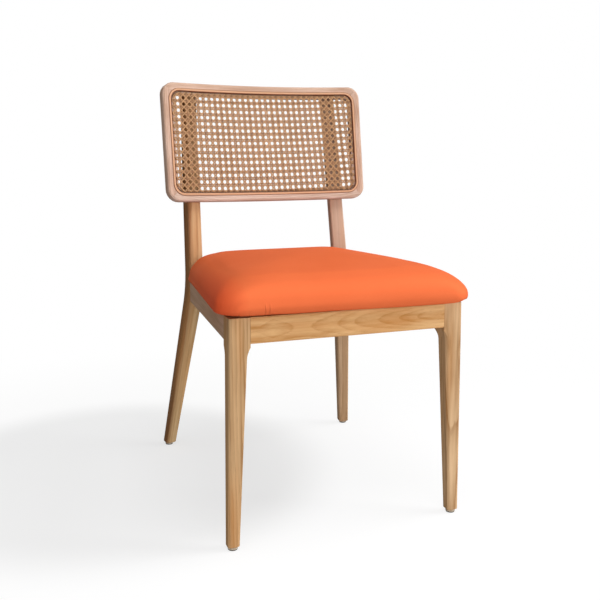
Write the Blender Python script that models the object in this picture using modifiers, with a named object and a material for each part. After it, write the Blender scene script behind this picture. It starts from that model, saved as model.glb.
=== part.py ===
"""Cane back dining chair: bent rear legs, a reclined and slightly bent cane back, and an upholstered pad.

Metres, +Z up. The chair faces -Y and stands on the floor at z = 0, with the origin under its middle.
"""

import math

import bmesh
import bpy
from mathutils import Matrix, Vector

# Fits
CLEARANCE = 0.0003
OVERRUN = 0.004
MERGE_DISTANCE = 0.00002

# Stance, from the front faces of the front legs to the rear feet
FRONT_TO_REAR_FOOT = 0.5567
FRONT_FOOT_X = 0.2145
REAR_FOOT_SPLAY = 0.0495

# Front legs
BLOCK_INNER_X = 0.1810
BLOCK_OUTER_X = 0.2170
BLOCK_DEPTH = 0.0400
BLOCK_BELOW_RAIL = 0.0060
COVE_HEIGHT = 0.0200
SHAFT_TOP_INNER_X = 0.1864
SHAFT_TOP_DEPTH = 0.0320
FRONT_FOOT_SIZE = 0.0215
FRONT_FOOT_SETBACK = 0.0027
LEG_EDGE_RADIUS = 0.0050
BLOCK_JOINT_RADIUS = 0.0008
TOE_CHAMFER = 0.0018
COVE_STEPS = 5
CORNER_STEPS = 3

# Rear legs, each a kicked and splayed leg below the knee and a raked post above it
POST_INSET = 0.0532
KNEE_FROM_FRONT = 0.4584
KNEE_HEIGHT = 0.3860
KNEE_BLEND = 0.0450
POST_RAKE = math.radians(9.4)
POST_LEAN = math.radians(1.5)
REAR_LEG_TURN = math.radians(9.0)
REAR_FOOT_SIZE = 0.0235
REAR_KNEE_SIZE = 0.0315
POST_FOOT_SIZE = 0.0313
POST_TOP_SIZE = 0.0278
POST_EDGE_RADIUS = 0.0038
POST_TOP_BELOW_PANEL = 0.0060
KNEE_STEPS = 6

# Seat rails
RAIL_TOP = 0.4085
RAIL_HEIGHT = 0.0445
RAIL_THICKNESS = 0.0220
RAIL_EDGE_RADIUS = 0.0015
SEAT_SLOPE = math.radians(0.9)
SIDE_RAIL_SETBACK = 0.0015
REAR_RAIL_THICKNESS = 0.0200
TENON_THICKNESS = 0.0090
TENON_HEIGHT = 0.0300
FRONT_TENON_LENGTH = 0.0160
SIDE_TENON_LENGTH = 0.0150
REAR_TENON_LENGTH = 0.0090
RAIL_IN_LEG = 0.0080

# Corner blocks and screws
BLOCK_REACH = 0.0620
BLOCK_HEIGHT = 0.0280
BLOCK_TILT_GAP = 0.0008
SCREW_RADIUS = 0.0020
SCREW_HEAD_RADIUS = 0.0040
SCREW_HEAD_HEIGHT = 0.0025
SCREW_TIP = 0.0040
SCREW_ACCESS = 0.0300
BLOCK_SCREW_LENGTH = 0.0280
BLOCK_SCREW_REACH_SHARE = 0.62
BLOCK_SCREW_IN_RAIL = 0.0120
SEAT_SCREW_LENGTH = 0.0390
SEAT_SCREW_REACH_SHARE = 0.42
TURNED_STEPS = 12

# Seat pad
PAD_LIFT = 0.0015
COVER_THICKNESS = 0.0014
HEM_WIDTH = 0.0300
NOTCH_HEM_WIDTH = 0.0110
BOARD_THICKNESS = 0.0120
BOARD_EDGE_INSET = 0.0030
PAD_HEIGHT = 0.0770
PAD_SHOULDER_DROP = 0.0140
PAD_SHOULDER_WIDTH = 0.0680
PAD_SIDE_BULGE = 0.0245
PAD_REAR_SIDE_BULGE = 0.0065
PAD_FRONT_BULGE = 0.0150
PAD_REAR_BULGE = 0.0050
PAD_BULGE_HEIGHT = 0.0105
PAD_CORNER_RADIUS = 0.0450
PAD_REAR_CORNER_RADIUS = 0.0200
PAD_LEAST_RADIUS = 0.0040
PAD_RADIUS_SHARE = 0.0
PAD_NOTCH_RADIUS = 0.0050
PAD_POST_GAP = 0.0025
FOAM_GAP = 0.0006
DUST_COVER_THICKNESS = 0.0008
DUST_COVER_INSET = 0.0030
END_SLACK_SHARE = 0.000001
EDGE_SHARES = (0.14, 0.5, 1.0)
SIDE_SHARES = (0.26, 0.50, 0.71, 0.87, 0.97)
DOME_SHARES = (0.72, 0.42, 0.14)
PAD_CORNER_STEPS = 4
PAD_ANGLE_STEP = math.radians(14)
PAD_LEAST_ANGLE = math.radians(1.2)

# Back panel, measured flat along its front face before it is bent
PANEL_WIDTH = 0.4520
PANEL_HEIGHT = 0.2524
PANEL_THICKNESS = 0.0220
PANEL_BOTTOM = 0.5715
PANEL_BEND_RADIUS = 1.2760
PANEL_CORNER_RADIUS = 0.0260
PANEL_EDGE_RADIUS = 0.0045
PANEL_FACE_WIDTH = 0.0150
PANEL_GROOVE_WIDTH = 0.0054
PANEL_GROOVE_DEPTH = 0.0065
PANEL_GROOVE_RADIUS = 0.0220
PANEL_LIP_WIDTH = 0.0040
PANEL_LIP_DROP = 0.0030
PANEL_LIP_RADIUS = 0.0160
PANEL_HOUSING = 0.0015
PANEL_SIDE_STEPS = 4
PANEL_TOP_STEPS = 12
PANEL_CORNER_STEPS = 6
DOWEL_RADIUS = 0.0040
DOWEL_LENGTH = 0.0280
DOWEL_DEPTH = 0.0130

# Cane web and the spline that holds its rim
CANE_COLUMNS = 22
CANE_ROWS = 11
CANE_STRAND = 0.0075
CANE_THICKNESS = 0.0012
CANE_RIM_DEPTH = 0.0045
SPLINE_WIDTH = 0.0033
SPLINE_STAND = 0.0006

# Panel screws and plugs
PANEL_SCREW_LENGTH = 0.0300
PANEL_SCREW_INSET = 0.0115
PLUG_RADIUS = 0.0050
PLUG_LENGTH = 0.0055

# Glides
FELT_RADIUS = 0.0085
FELT_THICKNESS = 0.0020
GLIDE_RADIUS = 0.0090
GLIDE_THICKNESS = 0.0032
GLIDE_EDGE = 0.0010
NAIL_RADIUS = 0.0013
NAIL_LENGTH = 0.0140
NAIL_TIP = 0.0030

# Places worked out from the sizes above
KNEE_X = PANEL_WIDTH / 2 - POST_INSET
REAR_FOOT_X = KNEE_X + REAR_FOOT_SPLAY
TOE_HEIGHT = FELT_THICKNESS + GLIDE_THICKNESS + CLEARANCE * 2
TURN_REACH = math.cos(REAR_LEG_TURN) + math.sin(REAR_LEG_TURN)
KICK = (FRONT_TO_REAR_FOOT - KNEE_FROM_FRONT) / KNEE_HEIGHT
REAR_FOOT_REACH = (REAR_FOOT_SIZE / 2 - POST_EDGE_RADIUS) * TURN_REACH + POST_EDGE_RADIUS
REAR_FOOT_REACH -= (TOE_HEIGHT + TOE_CHAMFER) * KICK
PAD_FRONT_REACH = PAD_FRONT_BULGE - (PAD_LIFT + PAD_BULGE_HEIGHT) * math.sin(SEAT_SLOPE)
FRONT_Y = (PAD_FRONT_REACH - FRONT_TO_REAR_FOOT - REAR_FOOT_REACH) / 2
REAR_FOOT_Y = FRONT_Y + FRONT_TO_REAR_FOOT
FRONT_FOOT_Y = FRONT_Y + FRONT_FOOT_SETBACK + FRONT_FOOT_SIZE / 2
BLOCK_REAR_Y = FRONT_Y + BLOCK_DEPTH
KNEE_Y = FRONT_Y + KNEE_FROM_FRONT
RAIL_BOTTOM = RAIL_TOP - RAIL_HEIGHT
BLOCK_BOTTOM = RAIL_BOTTOM - BLOCK_BELOW_RAIL
COVE_BOTTOM = BLOCK_BOTTOM - COVE_HEIGHT
LIP_INSET = PANEL_FACE_WIDTH + PANEL_GROOVE_WIDTH + PANEL_LIP_WIDTH
HEM_LOW = PAD_LIFT + CLEARANCE
HEM_HIGH = HEM_LOW + COVER_THICKNESS
BOARD_BOTTOM = HEM_HIGH + CLEARANCE
BOARD_TOP = BOARD_BOTTOM + BOARD_THICKNESS

for thing in list(bpy.data.objects):
    bpy.data.objects.remove(thing, do_unlink=True)

chair = bpy.data.collections.new("cane_back_chair")
cutters = bpy.data.collections.new("cutters")
bpy.context.scene.collection.children.link(chair)
bpy.context.scene.collection.children.link(cutters)


def make_material(name, colour, roughness, metallic=0.0):
    material = bpy.data.materials.new(name)
    material.use_nodes = True
    material.diffuse_color = (*colour, 1.0)
    shader = material.node_tree.nodes["Principled BSDF"]
    shader.inputs["Base Color"].default_value = (*colour, 1.0)
    shader.inputs["Roughness"].default_value = roughness
    shader.inputs["Metallic"].default_value = metallic
    return material


ASH = make_material("ash_legs", (0.66, 0.40, 0.20), 0.50)
PALE_ASH = make_material("ash_back", (0.68, 0.41, 0.26), 0.50)
CANE = make_material("cane", (0.64, 0.42, 0.24), 0.55)
SPLINE = make_material("cane_spline", (0.68, 0.42, 0.26), 0.50)
LEATHER = make_material("orange_leather", (0.82, 0.16, 0.05), 0.42)
FOAM = make_material("foam", (0.80, 0.76, 0.62), 0.95)
PLYWOOD = make_material("plywood", (0.60, 0.44, 0.27), 0.65)
LINING = make_material("dust_cover", (0.02, 0.02, 0.02), 0.90)
STEEL = make_material("screw_steel", (0.55, 0.55, 0.56), 0.35, 1.0)
GLIDE = make_material("glide_plastic", (0.42, 0.33, 0.24), 0.45)
FELT = make_material("felt", (0.05, 0.045, 0.04), 0.95)


def add_object(name, mesh, material=None, parent=None, matrix=None):
    """A visible sub-part, or a cutter where no material is given."""
    thing = bpy.data.objects.new(name, mesh)
    if material is None:
        cutters.objects.link(thing)
        thing.hide_render = True
        thing.display_type = "WIRE"
    else:
        chair.objects.link(thing)
        mesh.materials.append(material)
    thing.parent = parent
    if matrix is not None:
        thing.matrix_basis = matrix
    return thing


def mesh_from(name, bm, smooth_angle=math.radians(35)):
    bmesh.ops.recalc_face_normals(bm, faces=bm.faces)
    mesh = bpy.data.meshes.new(name)
    bm.to_mesh(mesh)
    bm.free()
    mesh.shade_smooth()
    mesh.set_sharp_from_angle(angle=smooth_angle)
    return mesh


def loft(name, rings, closed=False, split=False):
    """Skin over rings that have as many points each: capped at both ends, or closed round to the first ring.

    Split skins cut every face along its shorter diagonal, so that two skins one inside the other never meet.
    """
    bm = bmesh.new()
    loops = [[bm.verts.new(point) for point in ring] for ring in rings]
    pairs = list(zip(loops, loops[1:]))
    if closed:
        pairs.append((loops[-1], loops[0]))
    else:
        bm.faces.new(loops[0])
        bm.faces.new(loops[-1])
    for low, high in pairs:
        for i in range(len(low)):
            j = (i + 1) % len(low)
            bm.faces.new((low[i], low[j], high[j], high[i]))
    if split:
        bmesh.ops.triangulate(bm, faces=bm.faces, quad_method="SHORT_EDGE")
    return mesh_from(name, bm)


def rounded(corners, radii, steps, edge_steps=None):
    """Closed flat outline through corners, each rounded to its radius. Straight edges are split evenly."""
    count = len(corners)
    edge_steps = edge_steps or [1] * count
    arcs = []
    for i, corner in enumerate(corners):
        before = (corners[i - 1] - corner).normalized()
        after = (corners[(i + 1) % count] - corner).normalized()
        half = before.angle(after) / 2
        reach = radii[i] / math.tan(half)
        centre = corner + (before + after).normalized() * radii[i] / math.sin(half)
        start = corner + before * reach - centre
        end = corner + after * reach - centre
        arcs.append([centre + start.lerp(end, j / steps).normalized() * radii[i] for j in range(steps + 1)])
    points = []
    for i, arc in enumerate(arcs):
        points += arc
        following = arcs[(i + 1) % count][0]
        points += [arc[-1].lerp(following, j / edge_steps[i]) for j in range(1, edge_steps[i])]
    return points


def box_mesh(name, low, high, edge=None):
    bm = bmesh.new()
    bmesh.ops.create_cube(bm, size=1)
    low, high = Vector(low), Vector(high)
    size = high - low
    for vert in bm.verts:
        vert.co = (low + high) / 2 + Vector(a * b for a, b in zip(vert.co, size))
    if edge:
        bmesh.ops.bevel(bm, geom=bm.edges, offset=edge, segments=2, affect="EDGES")
    return mesh_from(name, bm)


def prism_mesh(name, outline, low, high):
    return loft(name, [[Vector((p.x, p.y, z)) for p in outline] for z in (low, high)])


def turned(name, profile, material=None, parent=None, matrix=None):
    """Turned piece from a profile of (radius, height) that runs down its outer side."""
    mesh = bpy.data.meshes.new(name)
    points = [(radius, 0, height) for radius, height in profile]
    mesh.from_pydata(points, [(i, i + 1) for i in range(len(points) - 1)], [])
    thing = add_object(name, mesh, material, parent, matrix)
    screw = thing.modifiers.new("turn", "SCREW")
    screw.steps = TURNED_STEPS
    screw.render_steps = TURNED_STEPS
    screw.use_merge_vertices = True
    screw.merge_threshold = MERGE_DISTANCE
    screw.use_smooth_shade = True
    return thing


def aim(place, direction):
    """Matrix that stands a turned piece at a place, with its +Z along the direction."""
    return Matrix.Translation(place) @ direction.to_track_quat("Z", "Y").to_matrix().to_4x4()


def boolean(thing, other, operation="DIFFERENCE"):
    modifier = thing.modifiers.new(other.name, "BOOLEAN")
    modifier.operation = operation
    modifier.object = other
    modifier.solver = "EXACT"


def applied(thing):
    """The object's evaluated mesh, with the object and its modifiers gone."""
    bpy.context.view_layer.update()
    graph = bpy.context.evaluated_depsgraph_get()
    mesh = bpy.data.meshes.new_from_object(thing.evaluated_get(graph))
    bpy.data.objects.remove(thing, do_unlink=True)
    return mesh


def side_name(name, side):
    return f"{name}_left" if side < 0 else f"{name}_right"


# Empties that carry the tilted seat and the reclined back

def add_empty(name, place, tilt):
    empty = bpy.data.objects.new(name, None)
    chair.objects.link(empty)
    empty.location = place
    empty.rotation_euler = (tilt, 0, 0)
    return empty


seat_frame = add_empty("seat_frame", (0, BLOCK_REAR_Y, RAIL_TOP), -SEAT_SLOPE)


# Screws

def screw_profile(length, grow=0.0, access=0.0):
    """Pan head screw, tip down and head up, with its head's top at zero."""
    head = SCREW_HEAD_RADIUS + grow
    shank = SCREW_RADIUS + grow
    neck = -SCREW_HEAD_HEIGHT - grow
    top = access + grow
    return [
        (0, top),
        (head, top),
        (head, neck),
        (shank, neck),
        (shank, SCREW_TIP - length - grow),
        (0, -length - grow),
    ]


def add_screw(name, place, direction, length, parent, into, access=SCREW_ACCESS):
    """Screw with its head at the place and its tip along the direction. It cuts its hole in each piece."""
    matrix = aim(place, -direction)
    turned(name, screw_profile(length), STEEL, parent, matrix)
    hole = turned(f"{name}_hole", screw_profile(length, CLEARANCE, access), None, parent, matrix)
    for piece in into:
        boolean(piece, hole)


# Front legs

def front_leg_ring(z, side, grow):
    """Section of a front leg: the block over the cove, the cove, or the tapered shaft."""
    foot_share = max(0.0, min(1.0, (COVE_BOTTOM - z) / (COVE_BOTTOM - TOE_HEIGHT)))
    top_share = (z - TOE_HEIGHT) / (RAIL_TOP - TOE_HEIGHT)
    half_foot = FRONT_FOOT_SIZE / 2
    outer = (FRONT_FOOT_X + half_foot) * (1 - top_share) + BLOCK_OUTER_X * top_share
    shaft_slope = (FRONT_FOOT_X - half_foot - SHAFT_TOP_INNER_X) / (COVE_BOTTOM - TOE_HEIGHT)
    inner = SHAFT_TOP_INNER_X + (COVE_BOTTOM - z) * shaft_slope
    front = FRONT_Y + FRONT_FOOT_SETBACK * foot_share
    rear_foot = FRONT_Y + FRONT_FOOT_SETBACK + FRONT_FOOT_SIZE
    rear = FRONT_Y + SHAFT_TOP_DEPTH + (rear_foot - FRONT_Y - SHAFT_TOP_DEPTH) * foot_share
    joint_radius = LEG_EDGE_RADIUS
    if z > COVE_BOTTOM:
        cove_share = min(1.0, (z - COVE_BOTTOM) / COVE_HEIGHT) ** 2
        inner += (BLOCK_INNER_X - inner) * cove_share
        rear += (BLOCK_REAR_Y - rear) * cove_share
        joint_radius += (BLOCK_JOINT_RADIUS - joint_radius) * cove_share
    corners = [
        Vector((side * (inner - grow), front - grow)),
        Vector((side * (outer + grow), front - grow)),
        Vector((side * (outer + grow), rear + grow)),
        Vector((side * (inner - grow), rear + grow)),
    ]
    radii = [joint_radius, LEG_EDGE_RADIUS, LEG_EDGE_RADIUS, joint_radius]
    return corners, radii


def chamfered(corners, amount):
    centre = sum(corners, Vector((0, 0))) / len(corners)
    reach = (corners[0] - centre).length
    return [corner + (centre - corner) * amount / reach for corner in corners]


def front_leg_mesh(name, side, grow=0.0):
    toe_corners, toe_radii = front_leg_ring(TOE_HEIGHT, side, grow)
    rings = [(TOE_HEIGHT, chamfered(toe_corners, TOE_CHAMFER * 2), toe_radii)]
    cove = [COVE_BOTTOM + COVE_HEIGHT * i / COVE_STEPS for i in range(COVE_STEPS + 1)]
    top = RAIL_TOP + OVERRUN if grow else RAIL_TOP
    for z in [TOE_HEIGHT + TOE_CHAMFER, *cove, top]:
        rings.append((z, *front_leg_ring(z, side, grow)))
    return loft(name, [
        [Vector((p.x, p.y, z)) for p in rounded(corners, radii, CORNER_STEPS)] for z, corners, radii in rings
    ])


# Rear legs

def rear_leg_centre(z, side):
    """Middle of the rear leg at a height: two straight runs that meet in a smooth knee."""
    low = Vector((REAR_FOOT_X - KNEE_X, REAR_FOOT_Y - KNEE_Y)) / -KNEE_HEIGHT
    high = Vector((-math.tan(POST_LEAN), math.tan(POST_RAKE)))
    knee = Vector((KNEE_X, KNEE_Y))
    along = z - KNEE_HEIGHT
    if along <= -KNEE_BLEND:
        centre = knee + low * along
    elif along >= KNEE_BLEND:
        centre = knee + high * along
    else:
        centre = knee + low * along + (high - low) * (along + KNEE_BLEND) ** 2 / (4 * KNEE_BLEND)
    return Vector((side * centre.x, centre.y))


def rear_leg_size(z):
    """Width of the square section: it grows from the foot to the knee and shrinks up the post."""
    knee_bottom = KNEE_HEIGHT - KNEE_BLEND
    knee_top = KNEE_HEIGHT + KNEE_BLEND
    if z <= knee_bottom:
        rise = (z - TOE_HEIGHT) / (knee_bottom - TOE_HEIGHT)
        return REAR_FOOT_SIZE + (REAR_KNEE_SIZE - REAR_FOOT_SIZE) * rise
    if z <= knee_top:
        rise = (z - knee_bottom) / (knee_top - knee_bottom)
        return REAR_KNEE_SIZE + (POST_FOOT_SIZE - REAR_KNEE_SIZE) * rise
    rise = (z - knee_top) / (POST_TOP - knee_top)
    return POST_FOOT_SIZE + (POST_TOP_SIZE - POST_FOOT_SIZE) * rise


def rear_leg_ring(z, side, grow, shrink=0.0):
    half = rear_leg_size(z) / 2 + grow - shrink
    across = Vector((math.cos(REAR_LEG_TURN), -side * math.sin(REAR_LEG_TURN))) * half
    back = Vector((side * math.sin(REAR_LEG_TURN), math.cos(REAR_LEG_TURN))) * half
    centre = rear_leg_centre(z, side)
    front = centre - back
    rear = centre + back
    corners = [front - across, front + across, rear + across, rear - across]
    return [Vector((p.x, p.y, z)) for p in rounded(corners, [POST_EDGE_RADIUS] * 4, CORNER_STEPS)]


def panel_origin():
    """Middle of the panel's bottom front edge, set so that its back is housed in the post's front face."""
    at_post = math.asin(KNEE_X / PANEL_BEND_RADIUS)
    back_at_post = (PANEL_BEND_RADIUS + PANEL_THICKNESS) * math.cos(at_post) - PANEL_BEND_RADIUS
    post_half = rear_leg_size_at_panel() / 2
    axis_behind = back_at_post + post_half - PANEL_HOUSING
    z = PANEL_BOTTOM - axis_behind * math.sin(POST_RAKE)
    post_y = KNEE_Y + math.tan(POST_RAKE) * (z - KNEE_HEIGHT)
    return Vector((0, post_y - axis_behind * math.cos(POST_RAKE), PANEL_BOTTOM)), axis_behind


def rear_leg_size_at_panel():
    return (POST_FOOT_SIZE + POST_TOP_SIZE) / 2


PANEL_ORIGIN, POST_AXIS_BEHIND = panel_origin()
POST_TOP = PANEL_BOTTOM + (PANEL_HEIGHT - POST_TOP_BELOW_PANEL) * math.cos(POST_RAKE)
POST_TOP -= POST_AXIS_BEHIND * math.sin(POST_RAKE)


def rear_leg_mesh(name, side, grow=0.0):
    knee = [KNEE_HEIGHT + KNEE_BLEND * (2 * i / KNEE_STEPS - 1) for i in range(KNEE_STEPS + 1)]
    rings = [rear_leg_ring(TOE_HEIGHT, side, grow, TOE_CHAMFER)]
    heights = (TOE_HEIGHT + TOE_CHAMFER, *knee, POST_TOP - TOE_CHAMFER)
    rings += [rear_leg_ring(z, side, grow) for z in heights]
    rings.append(rear_leg_ring(POST_TOP, side, grow, TOE_CHAMFER))
    return loft(name, rings)


front_legs, rear_legs, front_envelopes, rear_envelopes = {}, {}, {}, {}
for side in (-1, 1):
    for name, make_leg, legs, envelopes in (
        ("front_leg", front_leg_mesh, front_legs, front_envelopes),
        ("rear_leg", rear_leg_mesh, rear_legs, rear_envelopes),
    ):
        name = side_name(name, side)
        legs[side] = add_object(name, make_leg(name, side), ASH)
        name = f"{name}_envelope"
        envelopes[side] = add_object(name, make_leg(name, side, CLEARANCE))


# Rails, each with its shoulders scribed to the legs and one tenon bar through it

def add_rail(name, length, thickness, start_tenon, end_tenon, parent, matrix, ends):
    """Rail along +X from zero to its length, with its top at zero and its middle on the X axis."""
    half = thickness / 2
    low = (-RAIL_IN_LEG, -half, -RAIL_HEIGHT)
    high = (length + RAIL_IN_LEG, half, 0)
    rail = add_object(name, box_mesh(name, low, high, RAIL_EDGE_RADIUS), ASH, parent, matrix)
    for leg in ends:
        boolean(rail, leg)
    middle = -RAIL_HEIGHT / 2
    low = Vector((-start_tenon, -TENON_THICKNESS / 2, middle - TENON_HEIGHT / 2))
    high = Vector((length + end_tenon, TENON_THICKNESS / 2, middle + TENON_HEIGHT / 2))
    bar_name = f"{name}_tenons"
    bar = add_object(bar_name, box_mesh(bar_name, low, high), None, parent, matrix)
    boolean(rail, bar, "UNION")
    gap = Vector((CLEARANCE, CLEARANCE, CLEARANCE))
    mortise_name = f"{name}_mortise"
    mortise_mesh = box_mesh(mortise_name, low - gap, high + gap)
    return rail, add_object(mortise_name, mortise_mesh, None, parent, matrix)


front_matrix = Matrix.Translation((-BLOCK_INNER_X, FRONT_Y + RAIL_THICKNESS / 2, RAIL_TOP))
front_rail, front_mortise = add_rail(
    "front_rail", 2 * BLOCK_INNER_X, RAIL_THICKNESS, FRONT_TENON_LENGTH, FRONT_TENON_LENGTH, None,
    front_matrix, front_envelopes.values(),
)


def side_rail_ends(side):
    """Middles of a side rail's ends in the seat frame: at the front leg's block and the rear leg's front."""
    rear_corner = rear_leg_ring(KNEE_HEIGHT, 1, 0)
    rear_outer = max(point.x for point in rear_corner if point.y < KNEE_Y)
    half = RAIL_THICKNESS / 2
    front = Vector((side * (BLOCK_OUTER_X - SIDE_RAIL_SETBACK - half), 0, 0))
    front_face = KNEE_Y - REAR_KNEE_SIZE / 2 - BLOCK_REAR_Y
    rear = Vector((side * (rear_outer - SIDE_RAIL_SETBACK - half), front_face, 0))
    return front, rear


side_rails = {}
for side in (-1, 1):
    start, end = side_rail_ends(side)
    run = end - start
    matrix = Matrix.Translation(start) @ Matrix.Rotation(math.atan2(run.y, run.x), 4, "Z")
    rail, mortise = add_rail(
        side_name("side_rail", side), run.length, RAIL_THICKNESS, SIDE_TENON_LENGTH, SIDE_TENON_LENGTH,
        seat_frame, matrix, (front_envelopes[side], rear_envelopes[side]),
    )
    side_rails[side] = rail
    boolean(front_legs[side], mortise)
    boolean(rear_legs[side], mortise)
    boolean(front_legs[side], front_mortise)

rear_inner = min(point.x for point in rear_leg_ring(KNEE_HEIGHT, 1, 0))
REAR_RAIL_Y = KNEE_Y - BLOCK_REAR_Y + REAR_KNEE_SIZE / 2 - REAR_RAIL_THICKNESS / 2 - SIDE_RAIL_SETBACK
rear_matrix = Matrix.Translation((-rear_inner, REAR_RAIL_Y, 0))
rear_rail, rear_mortise = add_rail(
    "rear_rail", 2 * rear_inner, REAR_RAIL_THICKNESS, REAR_TENON_LENGTH, REAR_TENON_LENGTH, seat_frame,
    rear_matrix, rear_envelopes.values(),
)
for side in (-1, 1):
    boolean(rear_legs[side], rear_mortise)


# Corner blocks, each with two screws into its rails

def inner_face_x(y):
    """Half of the width between the side rails at a depth, both in the seat frame."""
    start, end = side_rail_ends(1)
    share = (y - start.y) / (end.y - start.y)
    taper = math.atan2(start.x - end.x, end.y - start.y)
    return start.x + (end.x - start.x) * share - RAIL_THICKNESS / 2 / math.cos(taper)


def outer_face_x(y):
    return inner_face_x(y) + RAIL_THICKNESS


corner_blocks = {}
DUST_COVER_BOTTOM = PAD_LIFT - DUST_COVER_THICKNESS
BLOCK_TOP = DUST_COVER_BOTTOM - CLEARANCE
FRONT_RAIL_BACK = RAIL_THICKNESS - BLOCK_DEPTH
REAR_RAIL_FRONT = REAR_RAIL_Y - REAR_RAIL_THICKNESS / 2
for end, rail, rail_face, inward in (
    ("front", front_rail, FRONT_RAIL_BACK + BLOCK_TILT_GAP, 1),
    ("rear", rear_rail, REAR_RAIL_FRONT - CLEARANCE, -1),
):
    for side in (-1, 1):
        far = rail_face + inward * BLOCK_REACH
        corner_x = inner_face_x(rail_face) - CLEARANCE
        far_x = inner_face_x(far) - CLEARANCE
        outline = [
            Vector((side * corner_x, rail_face)),
            Vector((side * (corner_x - BLOCK_REACH), rail_face)),
            Vector((side * (corner_x - BLOCK_REACH), rail_face + inward * SCREW_HEAD_RADIUS)),
            Vector((side * (far_x - SCREW_HEAD_RADIUS), far)),
            Vector((side * far_x, far)),
        ]
        name = side_name(f"corner_block_{end}", side)
        bottom = BLOCK_TOP - BLOCK_HEIGHT
        block = add_object(name, prism_mesh(name, outline, bottom, BLOCK_TOP), ASH, seat_frame)
        boolean(block, (front_envelopes if end == "front" else rear_envelopes)[side])
        corner_blocks[end, side] = block
        middle = bottom + BLOCK_HEIGHT / 2
        start, stop = side_rail_ends(side)
        normal = Vector((side * (stop.y - start.y), side * (start.x - stop.x), 0)).normalized()
        reach = BLOCK_REACH * BLOCK_SCREW_REACH_SHARE
        back_off = BLOCK_SCREW_LENGTH - BLOCK_SCREW_IN_RAIL
        place = Vector((side * (corner_x - reach), rail_face + inward * back_off, middle))
        way = Vector((0, -inward, 0))
        add_screw(f"{name}_screw_a", place, way, BLOCK_SCREW_LENGTH, seat_frame, (block, rail))
        face_y = rail_face + inward * reach
        place = Vector((side * inner_face_x(face_y), face_y, middle)) - normal * back_off
        into = (block, side_rails[side])
        add_screw(f"{name}_screw_b", place, normal, BLOCK_SCREW_LENGTH, seat_frame, into)


# Seat pad: one outline, grown or shrunk, gives the board, the foam, the cover and its hem

def pad_corners(front, rear, front_half, rear_half):
    right = [Vector((front_half, front)), Vector((rear_half, rear))]
    return right + [Vector((-p.x, p.y)) for p in reversed(right)]


def pad_body(out, draw):
    """Outline of the pad without notches: the rails' outer faces plus a share of the bulge, drawn in."""
    front = -BLOCK_DEPTH - PAD_FRONT_BULGE * out + draw
    rear = PAD_REAR_Y + PAD_REAR_BULGE * out - draw
    front_half = outer_face_x(front) + PAD_SIDE_BULGE * out - draw
    rear_half = outer_face_x(rear) + PAD_REAR_SIDE_BULGE * out - draw
    front_radius = max(PAD_LEAST_RADIUS, PAD_CORNER_RADIUS - draw * PAD_RADIUS_SHARE)
    rear_radius = max(PAD_LEAST_RADIUS, PAD_REAR_CORNER_RADIUS - draw * PAD_RADIUS_SHARE)
    corners = pad_corners(front, rear, front_half, rear_half)
    return rounded(corners, [front_radius, rear_radius, rear_radius, front_radius], PAD_CORNER_STEPS)


def pad_notches(draw, beyond):
    """Outline that is cut in for both posts, and runs on beyond the pad everywhere else."""
    section = rear_leg_ring(RAIL_TOP, 1, 0) + rear_leg_ring(RAIL_TOP + PAD_HEIGHT, 1, 0)
    section = [point - Vector((0, BLOCK_REAR_Y, 0)) for point in section]
    notch_x = min(point.x for point in section) - PAD_POST_GAP - draw
    notch_y = min(point.y for point in section) - PAD_POST_GAP - draw
    front = -BLOCK_DEPTH - beyond
    rear = PAD_REAR_Y + beyond
    side = max(BLOCK_OUTER_X, outer_face_x(PAD_REAR_Y)) + beyond
    half = [Vector(p) for p in ((side, front), (side, notch_y), (notch_x, notch_y), (notch_x, rear))]
    corners = half + [Vector((-p.x, p.y)) for p in reversed(half)]
    least = PAD_LEAST_RADIUS
    radii = [least, least, PAD_NOTCH_RADIUS, least, least, PAD_NOTCH_RADIUS, least, least]
    return rounded(corners, radii, PAD_CORNER_STEPS)


def reach(outline, direction):
    """Distance from the pad's middle to an outline, along a direction."""
    found = []
    for i, point in enumerate(outline):
        edge = outline[(i + 1) % len(outline)] - point
        crossing = direction.cross(edge)
        if crossing == 0:
            continue
        offset = point - PAD_MIDDLE
        along = offset.cross(edge) / crossing
        share = offset.cross(direction) / crossing
        if along > 0 and -END_SLACK_SHARE <= share <= 1 + END_SLACK_SHARE:
            found.append(along)
    return min(found)


def pad_directions():
    """Directions from the pad's middle: through every corner of its notched outline, and evenly between."""
    body = pad_body(1.0, 0.0)
    notches = pad_notches(0.0, HEM_WIDTH)
    section = len(notches) // 8
    picks = [p - PAD_MIDDLE for p in body]
    for i in (2, 5):
        picks += [p - PAD_MIDDLE for p in notches[i * section:(i + 1) * section]]
    for side in (-1, 1):
        ends = [p for p in notches if p.x * side > 0]
        wall_x = max(ends, key=lambda p: p.y)
        wall_y = max(ends, key=lambda p: p.x * side if p.y > 0 else 0)
        picks.append(Vector((wall_x.x, PAD_REAR_Y + PAD_REAR_BULGE)) - PAD_MIDDLE)
        picks.append(Vector((side * (outer_face_x(wall_y.y) + PAD_REAR_SIDE_BULGE), wall_y.y)) - PAD_MIDDLE)
    angles = sorted(math.atan2(p.y, p.x) for p in picks)
    spaced = []
    for i, angle in enumerate(angles):
        following = angles[(i + 1) % len(angles)]
        gap = (following - angle) % math.tau
        parts = max(1, round(gap / PAD_ANGLE_STEP))
        if gap > PAD_LEAST_ANGLE:
            spaced += [angle + gap * j / parts for j in range(parts)]
    return [Vector((math.cos(angle), math.sin(angle))) for angle in spaced]


PAD_REAR_Y = REAR_RAIL_Y + REAR_RAIL_THICKNESS / 2
PAD_MIDDLE = Vector((0, (PAD_REAR_Y - BLOCK_DEPTH) / 2 - PAD_CORNER_RADIUS))
PAD_DIRECTIONS = pad_directions()


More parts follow.
